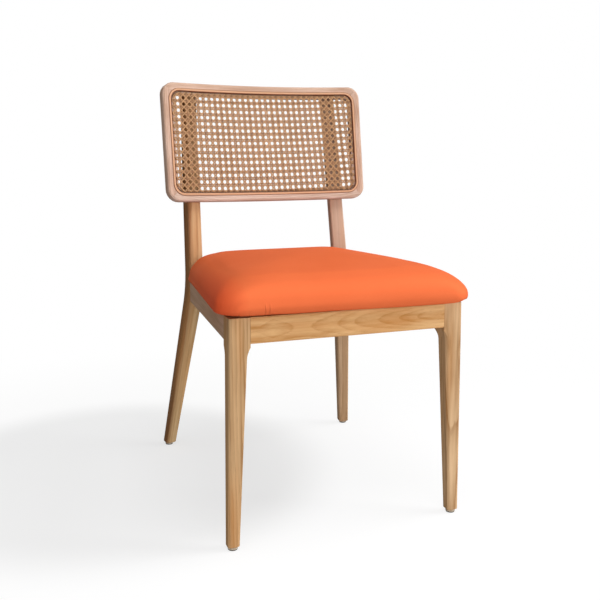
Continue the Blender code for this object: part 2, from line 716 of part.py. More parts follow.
def pad_outline(out, draw, notch_draw):
    """Outline of the notched pad, with as many points whatever the offset."""
    body = pad_body(out, draw)
    notches = pad_notches(notch_draw, HEM_WIDTH * 2)
    return [PAD_MIDDLE + way * min(reach(body, way), reach(notches, way)) for way in PAD_DIRECTIONS]


def pad_ring(height, inside):
    """Outline of the pad's side at a height over its bottom edge, drawn in by an inside offset."""
    if height < PAD_BULGE_HEIGHT:
        out = math.sqrt(1 - (1 - height / PAD_BULGE_HEIGHT) ** 2)
        draw = inside
    else:
        rise = (height - PAD_BULGE_HEIGHT) / (PAD_HEIGHT - PAD_SHOULDER_DROP - PAD_BULGE_HEIGHT)
        out = 1.0
        draw = inside + PAD_SHOULDER_WIDTH * (1 - math.sqrt(1 - rise ** 2))
    return [Vector((p.x, p.y, HEM_LOW + height)) for p in pad_outline(out, draw, inside)]


def pad_side(inside):
    """Rings up the pad's side, from near its bottom edge, through its widest line, to its shoulder."""
    shoulder = PAD_HEIGHT - PAD_SHOULDER_DROP
    heights = [PAD_BULGE_HEIGHT * share for share in EDGE_SHARES]
    heights += [PAD_BULGE_HEIGHT + (shoulder - PAD_BULGE_HEIGHT) * share for share in SIDE_SHARES]
    rings = [pad_ring(height, inside) for height in heights]
    for ring in rings:
        for point in ring:
            point.z -= inside * (point.z - HEM_LOW) / shoulder
    return rings


def pad_dome(shoulder, inside):
    """Rings from the shoulder in to the middle of the crown."""
    middle = Vector((0, (PAD_REAR_Y - BLOCK_DEPTH) / 2))
    crown = HEM_LOW + PAD_HEIGHT - inside
    start = shoulder[0].z
    rings = []
    for share in DOME_SHARES:
        height = start + (crown - start) * (1 - share ** 2)
        rings.append([Vector((*middle.lerp(p.xy, share), height)) for p in shoulder])
    return rings


def level(outline, height):
    return [Vector((p.x, p.y, height)) for p in outline]


# Each ring of the cover's outside has its match inside, and the hem turns in under the board
hem_outline = pad_outline(0.0, HEM_WIDTH, NOTCH_HEM_WIDTH)
inner_edge = pad_outline(0.0, COVER_THICKNESS, COVER_THICKNESS)
outer_side = pad_side(0.0)
inner_side = pad_side(COVER_THICKNESS)
cover_rings = pad_dome(inner_side[-1], COVER_THICKNESS)[::-1] + inner_side[::-1]
cover_rings += [level(inner_edge, HEM_HIGH), level(hem_outline, HEM_HIGH), level(hem_outline, HEM_LOW)]
cover_rings += [level(pad_outline(0.0, 0.0, 0.0), HEM_LOW)] + outer_side + pad_dome(outer_side[-1], 0.0)
seat_cover = add_object("seat_cover", loft("seat_cover", cover_rings, split=True), LEATHER, seat_frame)

board_outline = pad_outline(0.0, BOARD_EDGE_INSET, BOARD_EDGE_INSET)
board_mesh = prism_mesh("seat_board", board_outline, BOARD_BOTTOM, BOARD_TOP)
seat_board = add_object("seat_board", board_mesh, PLYWOOD, seat_frame)

foam_inside = COVER_THICKNESS + FOAM_GAP
foam_foot = pad_outline(0.0, BOARD_EDGE_INSET, BOARD_EDGE_INSET)
foam_side = [ring for ring in pad_side(foam_inside) if ring[0].z > BOARD_TOP + CLEARANCE]
foam_rings = [level(foam_foot, BOARD_TOP + CLEARANCE)] + foam_side + pad_dome(foam_side[-1], foam_inside)
seat_foam = add_object("seat_foam", loft("seat_foam", foam_rings, split=True), FOAM, seat_frame)

dust_front = FRONT_RAIL_BACK + DUST_COVER_INSET
dust_rear = REAR_RAIL_FRONT - DUST_COVER_INSET
dust_outline = [
    Vector((inner_face_x(y) * s - s * DUST_COVER_INSET, y))
    for s, y in ((1, dust_front), (1, dust_rear), (-1, dust_rear), (-1, dust_front))
]
dust_cover = add_object(
    "dust_cover", prism_mesh("dust_cover", dust_outline, DUST_COVER_BOTTOM, PAD_LIFT), LINING, seat_frame
)
for side in (-1, 1):
    boolean(dust_cover, front_envelopes[side])
    boolean(dust_cover, rear_envelopes[side])

for (end, side), block in corner_blocks.items():
    inward = 1 if end == "front" else -1
    rail_face = FRONT_RAIL_BACK if end == "front" else REAR_RAIL_FRONT
    face_y = rail_face + inward * BLOCK_REACH * SEAT_SCREW_REACH_SHARE
    x = side * (inner_face_x(face_y) - BLOCK_REACH * SEAT_SCREW_REACH_SHARE)
    head = BLOCK_TOP - BLOCK_HEIGHT - CLEARANCE - SCREW_HEAD_HEIGHT
    add_screw(
        side_name(f"seat_screw_{end}", side), Vector((x, face_y, head)), Vector((0, 0, 1)),
        SEAT_SCREW_LENGTH, seat_frame, (block, dust_cover, seat_board),
    )


# Back panel

back_frame = add_empty("back_frame", PANEL_ORIGIN, -POST_RAKE)


def bent(x, depth, height):
    """Place in the back frame of a point of the flat panel. The panel is hollow to the front."""
    angle = x / PANEL_BEND_RADIUS
    radius = PANEL_BEND_RADIUS + depth
    return Vector((radius * math.sin(angle), radius * math.cos(angle) - PANEL_BEND_RADIUS, height))


def bent_direction(x, across, depth, up):
    angle = x / PANEL_BEND_RADIUS
    return Matrix.Rotation(-angle, 3, "Z") @ Vector((across, depth, up))


def panel_line(inset, radius):
    """Flat outline of the panel, moved in from its edge, from the top right corner round by the top left."""
    half = PANEL_WIDTH / 2 - inset
    corners = [
        Vector((half, PANEL_HEIGHT - inset)),
        Vector((-half, PANEL_HEIGHT - inset)),
        Vector((-half, inset)),
        Vector((half, inset)),
    ]
    edges = [PANEL_TOP_STEPS, PANEL_SIDE_STEPS, PANEL_TOP_STEPS, PANEL_SIDE_STEPS]
    return rounded(corners, [radius] * 4, PANEL_CORNER_STEPS, edges)


def edge_line(share, back):
    """Line on the rounded outer edge, from the face at share 0 to the side at 1."""
    inset = PANEL_EDGE_RADIUS * (1 - math.sin(math.pi / 2 * share))
    depth = PANEL_EDGE_RADIUS * (1 - math.cos(math.pi / 2 * share))
    if back:
        depth = PANEL_THICKNESS - depth
    return inset, PANEL_CORNER_RADIUS - inset, depth


groove_outer = PANEL_FACE_WIDTH
groove_inner = PANEL_FACE_WIDTH + PANEL_GROOVE_WIDTH
groove_inner_radius = PANEL_GROOVE_RADIUS - PANEL_GROOVE_WIDTH / 2
frame_lines = [edge_line(share / 2, False) for share in range(3)]
frame_lines += [edge_line(share / 2, True) for share in (2, 1, 0)]
frame_lines += [
    (LIP_INSET, PANEL_LIP_RADIUS, PANEL_THICKNESS),
    (LIP_INSET, PANEL_LIP_RADIUS, PANEL_LIP_DROP),
    (groove_inner, groove_inner_radius, PANEL_LIP_DROP),
    (groove_inner, groove_inner_radius, PANEL_GROOVE_DEPTH),
    (groove_outer, PANEL_GROOVE_RADIUS, PANEL_GROOVE_DEPTH),
    (groove_outer, PANEL_GROOVE_RADIUS, 0.0),
]
frame_outlines = [(panel_line(inset, radius), depth) for inset, radius, depth in frame_lines]
TURN_POINTS = PANEL_CORNER_STEPS + 1
LOOP_POINTS = len(frame_outlines[0][0])


def panel_member(name, first, last):
    """Frame member between two mitres, which lie at the middles of two corners of the outline."""
    sections = []
    for index in range(first, last + 1):
        i = index % LOOP_POINTS
        shift = Vector((0, 0))
        if index in (first, last):
            outline = frame_outlines[0][0]
            along = (outline[(i + 1) % LOOP_POINTS] - outline[i - 1]).normalized()
            shift = along * CLEARANCE / 2 * (1 if index == first else -1)
        sections.append([bent(o[i].x + shift.x, depth, o[i].y + shift.y) for o, depth in frame_outlines])
    return add_object(name, loft(name, sections), PALE_ASH, back_frame)


half_turn = PANEL_CORNER_STEPS // 2
top_span = TURN_POINTS + PANEL_TOP_STEPS - 1
side_span = TURN_POINTS + PANEL_SIDE_STEPS - 1
mitres = [half_turn]
for span in (top_span, side_span, top_span, side_span):
    mitres.append(mitres[-1] + span)
member_names = ("back_top_rail", "back_stile_left", "back_bottom_rail", "back_stile_right")
members = [panel_member(name, mitres[i], mitres[i + 1]) for i, name in enumerate(member_names)]

# Dowels across the mitres
for i, (corner, across, up) in enumerate(
    (("top_right", 1, 1), ("top_left", -1, 1), ("bottom_left", -1, -1), ("bottom_right", 1, -1))
):
    outer_mid = frame_outlines[0][0][mitres[i] % LOOP_POINTS]
    inner_mid = panel_line(LIP_INSET, PANEL_LIP_RADIUS)[mitres[i] % LOOP_POINTS]
    middle = (outer_mid + inner_mid) / 2
    direction = bent_direction(middle.x, -across, 0, up).normalized()
    matrix = aim(bent(middle.x, DOWEL_DEPTH, middle.y), direction)
    half = DOWEL_LENGTH / 2
    profile = [(0, half), (DOWEL_RADIUS, half), (DOWEL_RADIUS, -half), (0, -half)]
    turned(f"back_dowel_{corner}", profile, ASH, back_frame, matrix)
    grown = [(r and r + CLEARANCE, z + math.copysign(CLEARANCE, z)) for r, z in profile]
    hole = turned(f"back_dowel_{corner}_hole", grown, None, back_frame, matrix)
    for member in (members[i - 1], members[i]):
        boolean(member, hole)


# Cane spline, a bead that stands a little proud of the groove

spline_inset = groove_outer + CLEARANCE
spline_radius = PANEL_GROOVE_RADIUS - CLEARANCE
spline_lines = [
    (0.0, PANEL_GROOVE_DEPTH - CLEARANCE),
    (0.0, 0.0),
    (0.25, -SPLINE_STAND),
    (0.75, -SPLINE_STAND),
    (1.0, 0.0),
    (1.0, PANEL_GROOVE_DEPTH - CLEARANCE),
]
spline_rings = []
for width_share, depth in spline_lines:
    inset = SPLINE_WIDTH * width_share
    outline = panel_line(spline_inset + inset, spline_radius - inset / 2)
    spline_rings.append([bent(p.x, depth, p.y) for p in outline])
add_object("cane_spline", loft("cane_spline", spline_rings, closed=True), SPLINE, back_frame)


# Cane web, a net whose rim turns down into the groove behind the spline

def cane_places(length, count):
    """Edges of strands and holes across a length: the first and last strands run out over the lip."""
    edge = LIP_INSET
    pitch = (length - 2 * edge - CANE_STRAND) / count
    places = [RIM_INSET - OVERRUN]
    for i in range(count):
        start = edge + CANE_STRAND + i * pitch
        places += [start, start + pitch - CANE_STRAND]
    return places + [length - RIM_INSET + OVERRUN]


RIM_INSET = groove_inner - CLEARANCE - CANE_THICKNESS
WEB_BACK = PANEL_LIP_DROP - CLEARANCE
WEB_FRONT = WEB_BACK - CANE_THICKNESS
xs = [x - PANEL_WIDTH / 2 for x in cane_places(PANEL_WIDTH, CANE_COLUMNS)]
zs = cane_places(PANEL_HEIGHT, CANE_ROWS)
bm = bmesh.new()
grid = [[bm.verts.new((x, WEB_FRONT, z)) for x in xs] for z in zs]
for row in range(len(zs) - 1):
    for column in range(len(xs) - 1):
        if row % 2 == 0 or column % 2 == 0:
            low = grid[row][column:column + 2]
            high = grid[row + 1][column:column + 2]
            bm.faces.new(low + high[::-1])
net = add_object("cane_net", mesh_from("cane_net", bm))
solid = net.modifiers.new("thickness", "SOLIDIFY")
solid.thickness = CANE_THICKNESS
solid.offset = -1.0 if net.data.polygons[0].normal.y < 0 else 1.0

rim_radius = groove_inner_radius + CLEARANCE + CANE_THICKNESS / 2
trim_line = panel_line(RIM_INSET, rim_radius)
trim_rings = [[Vector((p.x, depth, p.y)) for p in trim_line] for depth in (-OVERRUN, OVERRUN * 2)]
trim = add_object("cane_trim", loft("cane_trim", trim_rings))
boolean(net, trim, "INTERSECT")
rim_rings = [
    [Vector((p.x, depth, p.y)) for p in panel_line(RIM_INSET + inset, rim_radius - inset / 2)]
    for inset, depth in (
        (0.0, WEB_FRONT), (CANE_THICKNESS, WEB_FRONT),
        (CANE_THICKNESS, WEB_FRONT + CANE_RIM_DEPTH), (0.0, WEB_FRONT + CANE_RIM_DEPTH),
    )
]
rim = add_object("cane_rim", loft("cane_rim", rim_rings, closed=True))
boolean(net, rim, "UNION")
web_mesh = applied(net)
bm = bmesh.new()
bm.from_mesh(web_mesh)
bmesh.ops.remove_doubles(bm, verts=bm.verts, dist=MERGE_DISTANCE)
bmesh.ops.triangulate(bm, faces=bm.faces)
for vert in bm.verts:
    vert.co = bent(vert.co.x, vert.co.y, vert.co.z)
web_mesh = mesh_from("cane_web", bm)
web_mesh.materials.clear()
add_object("cane_web", web_mesh, CANE, back_frame)


# The posts are housed to the panel's back, and screws under plugs hold it

slab_rings = []
for share in range(PANEL_TOP_STEPS + 1):
    x = (share / PANEL_TOP_STEPS - 1 / 2) * PANEL_WIDTH
    slab_rings.append([
        bent(x, depth, height) for depth, height in (
            (-PANEL_THICKNESS, -CLEARANCE),
            (PANEL_THICKNESS + CLEARANCE, -CLEARANCE),
            (PANEL_THICKNESS + CLEARANCE, PANEL_HEIGHT + OVERRUN),
            (-PANEL_THICKNESS, PANEL_HEIGHT + OVERRUN),
        )
    ])
housing = add_object("panel_housing", loft("panel_housing", slab_rings), None, back_frame)
for side in (-1, 1):
    boolean(rear_legs[side], housing)
    for end, height, member in (
        ("lower", PANEL_SCREW_INSET, members[2]), ("upper", PANEL_HEIGHT - PANEL_SCREW_INSET, members[0]),
    ):
        world_z = PANEL_ORIGIN.z + height * math.cos(POST_RAKE) - POST_AXIS_BEHIND * math.sin(POST_RAKE)
        axis_x = rear_leg_centre(world_z, side).x
        angle = math.asin(axis_x / (PANEL_BEND_RADIUS + PANEL_THICKNESS))
        flat_x = angle * PANEL_BEND_RADIUS
        direction = bent_direction(flat_x, 0, -1, 0)
        post_back = POST_AXIS_BEHIND + rear_leg_size(world_z) / 2
        outside = Vector((axis_x, post_back, height))
        plug_matrix = aim(outside, -direction)
        profile = [(0, 0), (PLUG_RADIUS, 0), (PLUG_RADIUS, -PLUG_LENGTH), (0, -PLUG_LENGTH)]
        turned(side_name(f"screw_plug_{end}", side), profile, ASH, back_frame, plug_matrix)
        head = outside + direction * (PLUG_LENGTH + CLEARANCE)
        name = side_name(f"panel_screw_{end}", side)
        add_screw(name, head, direction, PANEL_SCREW_LENGTH, back_frame, (member,), CLEARANCE)
        drop = -PLUG_LENGTH - CLEARANCE
        bore = [(0, OVERRUN), (PLUG_RADIUS + CLEARANCE, OVERRUN), (PLUG_RADIUS + CLEARANCE, drop)]
        shank = screw_profile(PANEL_SCREW_LENGTH, CLEARANCE)[1:]
        bore += [(radius, z + drop) for radius, z in shank if z < 0]
        bore[3:3] = [(SCREW_HEAD_RADIUS + CLEARANCE, drop)]
        boolean(rear_legs[side], turned(f"{name}_bore", bore, None, back_frame, plug_matrix))


# Glides: a disc with a nail up into the leg, and a felt pad under it

glide_bottom = FELT_THICKNESS + CLEARANCE
glide_top = glide_bottom + GLIDE_THICKNESS
for end, legs in (("front", front_legs), ("rear", rear_legs)):
    for side in (-1, 1):
        x, y = (FRONT_FOOT_X, FRONT_FOOT_Y) if end == "front" else (REAR_FOOT_X, REAR_FOOT_Y)
        matrix = Matrix.Translation((side * x, y, 0))
        name = side_name(f"glide_{end}", side)
        profile = [
            (0, glide_top + NAIL_LENGTH),
            (NAIL_RADIUS, glide_top + NAIL_LENGTH - NAIL_TIP),
            (NAIL_RADIUS, glide_top),
            (GLIDE_RADIUS - GLIDE_EDGE, glide_top),
            (GLIDE_RADIUS, glide_top - GLIDE_EDGE),
            (GLIDE_RADIUS, glide_bottom),
            (0, glide_bottom),
        ]
        turned(name, profile, GLIDE, None, matrix)
        hole = [
            (0, glide_top + NAIL_LENGTH + CLEARANCE),
            (NAIL_RADIUS + CLEARANCE, glide_top + NAIL_LENGTH - NAIL_TIP + CLEARANCE),
            (NAIL_RADIUS + CLEARANCE, glide_bottom),
            (0, glide_bottom),
        ]
        boolean(legs[side], turned(f"{name}_hole", hole, None, None, matrix))
        profile = [(0, FELT_THICKNESS), (FELT_RADIUS, FELT_THICKNESS), (FELT_RADIUS, 0), (0, 0)]
        turned(side_name(f"felt_pad_{end}", side), profile, FELT, None, matrix)
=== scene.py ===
"""Looks of the cane back chair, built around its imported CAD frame."""

import math
import random

import bmesh
import bpy
from mathutils import Matrix, Vector


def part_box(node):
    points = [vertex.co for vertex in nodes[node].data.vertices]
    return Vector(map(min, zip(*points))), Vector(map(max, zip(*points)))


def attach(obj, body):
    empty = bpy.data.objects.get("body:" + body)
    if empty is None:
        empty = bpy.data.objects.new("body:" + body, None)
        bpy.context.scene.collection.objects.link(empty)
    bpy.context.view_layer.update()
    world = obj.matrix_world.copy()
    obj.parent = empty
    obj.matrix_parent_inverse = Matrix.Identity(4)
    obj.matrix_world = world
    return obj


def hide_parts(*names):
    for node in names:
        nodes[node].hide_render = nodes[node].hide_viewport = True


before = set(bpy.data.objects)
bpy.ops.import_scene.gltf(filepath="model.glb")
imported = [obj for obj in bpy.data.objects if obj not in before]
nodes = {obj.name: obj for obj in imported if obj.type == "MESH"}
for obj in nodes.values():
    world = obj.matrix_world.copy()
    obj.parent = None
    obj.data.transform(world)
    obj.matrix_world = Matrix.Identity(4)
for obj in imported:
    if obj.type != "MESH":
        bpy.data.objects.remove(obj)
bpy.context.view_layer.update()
scene = bpy.context.scene
chance = random.Random(7)


# Camera, solved from the photograph

CAMERA_PLACE = Vector((-0.53434, -1.48834, 0.66904))
CAMERA_HEADING = 0.348
CAMERA_PITCH = math.radians(10.40)
CAMERA_ROLL = math.radians(-0.12)
SENSOR_WIDTH = 36.0
FOCAL_LENGTH = 47.20

heading_sin, heading_cos = math.sin(CAMERA_HEADING), math.cos(CAMERA_HEADING)
pitch_sin, pitch_cos = math.sin(CAMERA_PITCH), math.cos(CAMERA_PITCH)
forward = Vector((heading_sin * pitch_cos, heading_cos * pitch_cos, -pitch_sin))
level_right = Vector((heading_cos, -heading_sin, 0))
level_up = level_right.cross(forward)
right = math.cos(CAMERA_ROLL) * level_right + math.sin(CAMERA_ROLL) * level_up
up = -math.sin(CAMERA_ROLL) * level_right + math.cos(CAMERA_ROLL) * level_up
camera_data = bpy.data.cameras.new("camera")
camera_data.sensor_width = SENSOR_WIDTH
camera_data.lens = FOCAL_LENGTH
camera = bpy.data.objects.new("camera", camera_data)
scene.collection.objects.link(camera)
camera.matrix_world = Matrix.Translation(CAMERA_PLACE) @ Matrix((right, up, -forward)).transposed().to_4x4()
scene.camera = camera


# Meshes

def add_object(name, shape, material):
    """Turns a finished bmesh into an object with one material, and frees the bmesh."""
    mesh = bpy.data.meshes.new(name)
    shape.to_mesh(mesh)
    shape.free()
    mesh.materials.append(material)
    thing = bpy.data.objects.new(name, mesh)
    scene.collection.objects.link(thing)
    return thing


def bridge(shape, rings, capped=True):
    """Joins each ring of vertices to the next, and lists every face with its ring and its place along it."""
    made = []
    for number, (low, high) in enumerate(zip(rings, rings[1:])):
        for i in range(len(low)):
            j = (i + 1) % len(low)
            made.append((shape.faces.new((low[i], low[j], high[j], high[i])), number, i))
    if capped:
        shape.faces.new(rings[0][::-1])
        shape.faces.new(rings[-1])
    return made


def shade_smooth(thing):
    for polygon in thing.data.polygons:
        polygon.use_smooth = True


def settle(thing):
    """Puts the result of an object's modifiers into its mesh, and takes them off."""
    bpy.context.view_layer.update()
    graph = bpy.context.evaluated_depsgraph_get()
    mesh = bpy.data.meshes.new_from_object(thing.evaluated_get(graph))
    thing.modifiers.clear()
    thing.data = mesh


def clamped(value):
    return max(0.0, min(1.0, value))


def eased(value, start, end):
    """0 before start and 1 after end, with a soft step between them."""
    share = clamped((value - start) / (end - start))
    return share * share * (3 - 2 * share)


# Material nodes

WHITE = (1.0, 1.0, 1.0, 1.0)
# Places of the colour sockets on a Mix node
MIX_FACTOR, MIX_FIRST, MIX_SECOND, MIX_RESULT = 0, 6, 7, 2


def rgb(red, green, blue):
    """Linear colour of one written in sRGB, 0 to 255."""
    parts = [c / 255 for c in (red, green, blue)]
    return tuple(c / 12.92 if c < 0.04045 else ((c + 0.055) / 1.055) ** 2.4 for c in parts) + (1.0,)


class Nodes:
    """Builds the nodes of a material or world. Values that are sockets are linked, and others are set."""

    def __init__(self, owner, output):
        self.owner = owner
        owner.use_nodes = True
        self.tree = owner.node_tree
        self.tree.nodes.clear()
        self.output = self.tree.nodes.new("ShaderNode" + output)

    def add(self, kind, sockets=None, **settings):
        node = self.tree.nodes.new("ShaderNode" + kind)
        for key, value in settings.items():
            setattr(node, key, value)
        for key, value in (sockets or {}).items():
            if isinstance(value, bpy.types.NodeSocket):
                self.tree.links.new(value, node.inputs[key])
            else:
                node.inputs[key].default_value = value
        return node

    def math(self, operation, first, second=0.0, clamp=False):
        return self.add("Math", {0: first, 1: second}, operation=operation, use_clamp=clamp).outputs[0]

    def plus(self, first, second, clamp=False):
        return self.math("ADD", first, second, clamp)

    def minus(self, first, second):
        return self.math("SUBTRACT", first, second)

    def times(self, first, second):
        return self.math("MULTIPLY", first, second)

    def place(self):
        """A point's place in its piece, whose origin is the world's."""
        return self.add("TexCoord").outputs["Object"]

    def split(self, vector):
        """The x, y and z of a vector."""
        return self.add("SeparateXYZ", {0: vector}).outputs

    def join(self, x, y, z):
        return self.add("CombineXYZ", {0: x, 1: y, 2: z}).outputs[0]

    def vector(self, operation, first, second, output="Vector"):
        return self.add("VectorMath", {0: first, 1: second}, operation=operation).outputs[output]

    def stretch(self, vector, scale):
        return self.vector("MULTIPLY", vector, scale)

    def distance(self, vector, centre):
        return self.vector("DISTANCE", vector, centre, "Value")

    def noise(self, vector, scale, detail=2.0, roughness=0.5):
        sockets = {"Vector": vector, "Scale": scale, "Detail": detail, "Roughness": roughness}
        return self.add("TexNoise", sockets).outputs["Fac"]

    def drawn(self, vector, scales, detail=2.0, roughness=0.5):
        """Noise with a scale of its own along each axis."""
        return self.noise(self.stretch(vector, scales), 1.0, detail, roughness)

    def ramp(self, value, stops):
        """Colour ramp through (place, grey) stops."""
        ramp = self.add("ValToRGB", {0: value})
        elements = ramp.color_ramp.elements
        while len(elements) < len(stops):
            elements.new(1.0)
        for element, (place, grey) in zip(elements, stops):
            element.position = place
            element.color = (grey, grey, grey, 1.0)
        return ramp.outputs[0]

    def levels(self, value, low, high, least=0.0):
        """Draws a value apart: least at low, and 1 at high."""
        return self.ramp(value, [(low, least), (high, 1.0)])

    def span(self, value, start, end, low=0.0, high=1.0, curve="LINEAR"):
        """How far a value has come from start to end, as a number between low and high."""
        sockets = {"Value": value, "From Min": start, "From Max": end, "To Min": low, "To Max": high}
        return self.add("MapRange", sockets, interpolation_type=curve).outputs[0]

    def mix(self, factor, first, second):
        sockets = {MIX_FACTOR: factor, MIX_FIRST: first, MIX_SECOND: second}
        return self.add("Mix", sockets, data_type="RGBA").outputs[MIX_RESULT]

    def bump(self, height, strength, distance, **more):
        sockets = {"Height": height, "Strength": strength, "Distance": distance, **more}
        return self.add("Bump", sockets).outputs[0]

    def seen(self):
        """1 for a ray that shows the backdrop as it is, and 0 for one that only gathers light."""
        rays = self.add("LightPath").outputs
        direct = self.math("MAXIMUM", rays["Is Camera Ray"], rays["Is Glossy Ray"])
        return self.math("MAXIMUM", direct, rays["Is Transmission Ray"])

    def show(self, shader):
        self.tree.links.new(shader.outputs[0], self.output.inputs[0])
        return self.owner

    def finish(self, sockets):
        return self.show(self.add("BsdfPrincipled", sockets))


def material_nodes(name):
    return Nodes(bpy.data.materials.new(name), "OutputMaterial")


# Wood

# How far a rear leg leans for each metre above its knee, and for each metre below it
KNEE_HEIGHT = 0.386
POST_BACK, POST_IN = 0.1656, 0.0262
LEG_BACK, LEG_OUT = 0.2547, 0.1282

# Scales of the wood's noises: across, across and along the grain
WAVER_ACROSS = 16.0
RIPPLES = (90.0, 90.0, 14.0)
RING_STRENGTH = (60.0, 60.0, 5.0)
FIBRES = (1100.0, 1100.0, 22.0)
STREAKS = (240.0, 240.0, 4.0)
PATCHES = (70.0, 70.0, 5.0)
PORES = (2100.0, 2100.0, 70.0)
GLOWS = (45.0, 45.0, 3.0)

RIPPLE_SHARE, ARCHED_RIPPLE = 0.55, 0.22
FIBRE_SHARE, STREAK_SHARE, PATCH_SHARE, PORE_SHARE = 0.14, 0.24, 0.42, 0.30
PORE_DARKNESS = 0.45
ARCH_RATE, ARCH_MIDDLE = 2.5, 0.5
BLEND_START, BLEND_END = 0.36, 0.46
# Painted shade on a rear leg's left side: how much its edge wavers with the rings, and its brown
SHADE_WAVER = 0.6
PAINTED_SHADE_BROWN = rgb(122, 76, 44)
WARM_WOOD = rgb(208, 144, 84)
RING_PROFILE = [(0.0, 0.10), (0.35, 0.15), (0.72, 0.60), (0.90, 1.0), (1.0, 0.10)]


def along_leg(make, place, side):
    """Coordinates that follow a bent rear leg, so that its grain runs along both its straight parts."""
    x, y, z = make.split(place)
    rise = make.minus(z, KNEE_HEIGHT)
    above, below = make.math("MAXIMUM", rise), make.math("MINIMUM", rise)
    y = make.minus(y, make.times(above, POST_BACK))
    y = make.plus(y, make.times(below, LEG_BACK))
    x = make.plus(x, make.times(above, POST_IN * side))
    x = make.plus(x, make.times(below, LEG_OUT * side))
    return make.join(x, y, z)


def wood(name, light, dark, grain, pith, ring=0.0042, figure=0.004, drift=2.5, contrast=0.45,
         leg_side=0, warmth=0.4, left_shade=None, post=None, arch=None):
    """Oiled ash, with growth rings round a wavering pith that cross its faces as lines or arches.

    pith is its place across, across and along the grain. ring is a ring's width, figure the waver's
    size, drift its rate along the grain and contrast the rings' darkness. leg_side is -1 or 1 for a
    rear leg. left_shade says where a painted shade of brown over the leg's left side starts and is
    full, and its share. post is the colour above the seat, and its share. arch is how far the pith
    swings aside along the grain.
    """
    make = material_nodes(name)
    place = make.place()
    if leg_side:
        place = along_leg(make, place, leg_side)
    turned = make.add("Mapping", {"Vector": place, "Rotation": grain}, vector_type="POINT").outputs[0]
    turned = make.vector("SUBTRACT", turned, pith)
    slow = make.minus(make.drawn(turned, (WAVER_ACROSS, WAVER_ACROSS, drift), 1.0), 0.5)
    fine = make.minus(make.drawn(turned, RIPPLES), 0.5)
    ripple = ring * (ARCHED_RIPPLE if arch else RIPPLE_SHARE)
    waver = make.plus(make.times(slow, figure * 2), make.times(fine, ripple))
    if arch:
        first, second, along = make.split(turned)
        swing = make.ramp(make.plus(make.times(along, ARCH_RATE), ARCH_MIDDLE), arch)
        turned = make.join(first, make.plus(second, swing), along)
    radius = make.distance(make.stretch(turned, (1.0, 1.0, 0.0)), (0.0, 0.0, 0.0))
    rings = make.math("FRACT", make.math("DIVIDE", make.plus(radius, waver), ring))
    band = make.ramp(rings, RING_PROFILE)
    band = make.times(band, make.levels(make.drawn(turned, RING_STRENGTH, 1.0), 0.35, 0.65, 0.35))
    fibre = make.levels(make.drawn(turned, FIBRES, 3.0, 0.6), 0.30, 0.72)
    streak = make.levels(make.drawn(turned, STREAKS), 0.35, 0.70)
    patch = make.levels(make.drawn(turned, PATCHES), 0.32, 0.68)
    pores = make.levels(make.drawn(turned, PORES, 1.0), 0.60, 0.70)
    pores = make.times(pores, make.levels(rings, 0.55, 0.90, 0.25))
    amount = make.plus(make.times(band, contrast), make.times(fibre, FIBRE_SHARE))
    amount = make.plus(amount, make.times(streak, STREAK_SHARE))
    amount = make.plus(amount, make.times(patch, PATCH_SHARE), clamp=True)
    colour = make.mix(amount, light, dark)
    if post:
        tone, share = post
        high = make.span(make.split(place)[2], BLEND_START, BLEND_END)
        colour = make.mix(make.times(high, share), colour, tone)
    # Painted shade: brown laid over the leg's left side, which faces away from the lights
    if left_shade:
        start, end, share = left_shade
        across = make.plus(make.split(place)[0], make.times(waver, SHADE_WAVER))
        colour = make.mix(make.times(make.span(across, start, end), share), colour, PAINTED_SHADE_BROWN)
    glow = make.levels(make.drawn(turned, GLOWS, 1.0), 0.42, 0.66)
    colour = make.mix(make.times(glow, warmth), colour, WARM_WOOD)
    pore_colour = tuple(c * PORE_DARKNESS for c in dark[:3]) + (1.0,)
    colour = make.mix(make.times(pores, PORE_SHARE), colour, pore_colour)
    height = make.minus(make.times(fibre, 0.35), pores)
    rough = make.plus(make.times(fibre, 0.10), 0.46)
    return make.finish({
        "Base Color": colour, "Roughness": rough, "IOR": 1.48, "Specular IOR Level": 0.0, "Metallic": 0.04,
        "Normal": make.bump(height, 0.30, 0.00010),
    })


ALONG_X = (0.0, math.radians(-90), 0.0)
ALONG_Y = (math.radians(90), 0.0, 0.0)
UPRIGHT = (0.0, 0.0, 0.0)
LEG_TONES = rgb(222, 184, 140), rgb(150, 108, 66)
RIGHT_LEG_TONES = rgb(232, 196, 154), rgb(158, 116, 76)
REAR_LEFT_TONES = rgb(240, 208, 160), rgb(168, 126, 82)
REAR_RIGHT_TONES = rgb(224, 188, 152), rgb(154, 116, 82)
RAIL_TONES = rgb(230, 186, 134), rgb(182, 126, 70)
SIDE_TONES = rgb(226, 190, 162), rgb(186, 148, 118)
BACK_TONES = rgb(214, 186, 168), rgb(168, 132, 110)
BACK_LOWER_TONES = rgb(222, 200, 186), rgb(178, 148, 128)
BACK_GRAIN = {"ring": 0.0038, "figure": 0.005, "drift": 3.0}
RAIL_ARCHES = [
    (0.0, 0.0345), (0.09, 0.0335), (0.145, 0.0305), (0.195, 0.0335), (0.24, 0.0352), (0.30, 0.0350),
    (0.60, 0.0210), (0.975, 0.0030),
]


# Other materials

def cane_skin():
    """Rattan skin, a little glossy, with fibres along each strand and a tone of its own for each strand."""
    make = material_nodes("cane_strands")
    place = make.add("UVMap", uv_map="along").outputs[0]
    tone = make.add("Attribute", attribute_name="tone").outputs["Fac"]
    fibre = make.levels(make.drawn(place, (2600.0, 26.0, 1.0), 3.0, 0.6), 0.30, 0.72)
    patch = make.levels(make.drawn(place, (30.0, 30.0, 1.0)), 0.35, 0.75)
    amount = make.plus(make.times(fibre, 0.30), make.times(patch, 0.20))
    amount = make.plus(amount, make.times(tone, 0.50), clamp=True)
    colour = make.mix(amount, rgb(198, 152, 106), rgb(80, 43, 22))
    rough = make.plus(make.times(fibre, 0.15), 0.38)
    return make.finish({
        "Base Color": colour, "Roughness": rough, "IOR": 1.50, "Specular IOR Level": 0.35,
        "Normal": make.bump(fibre, 0.30, 0.00008),
    })


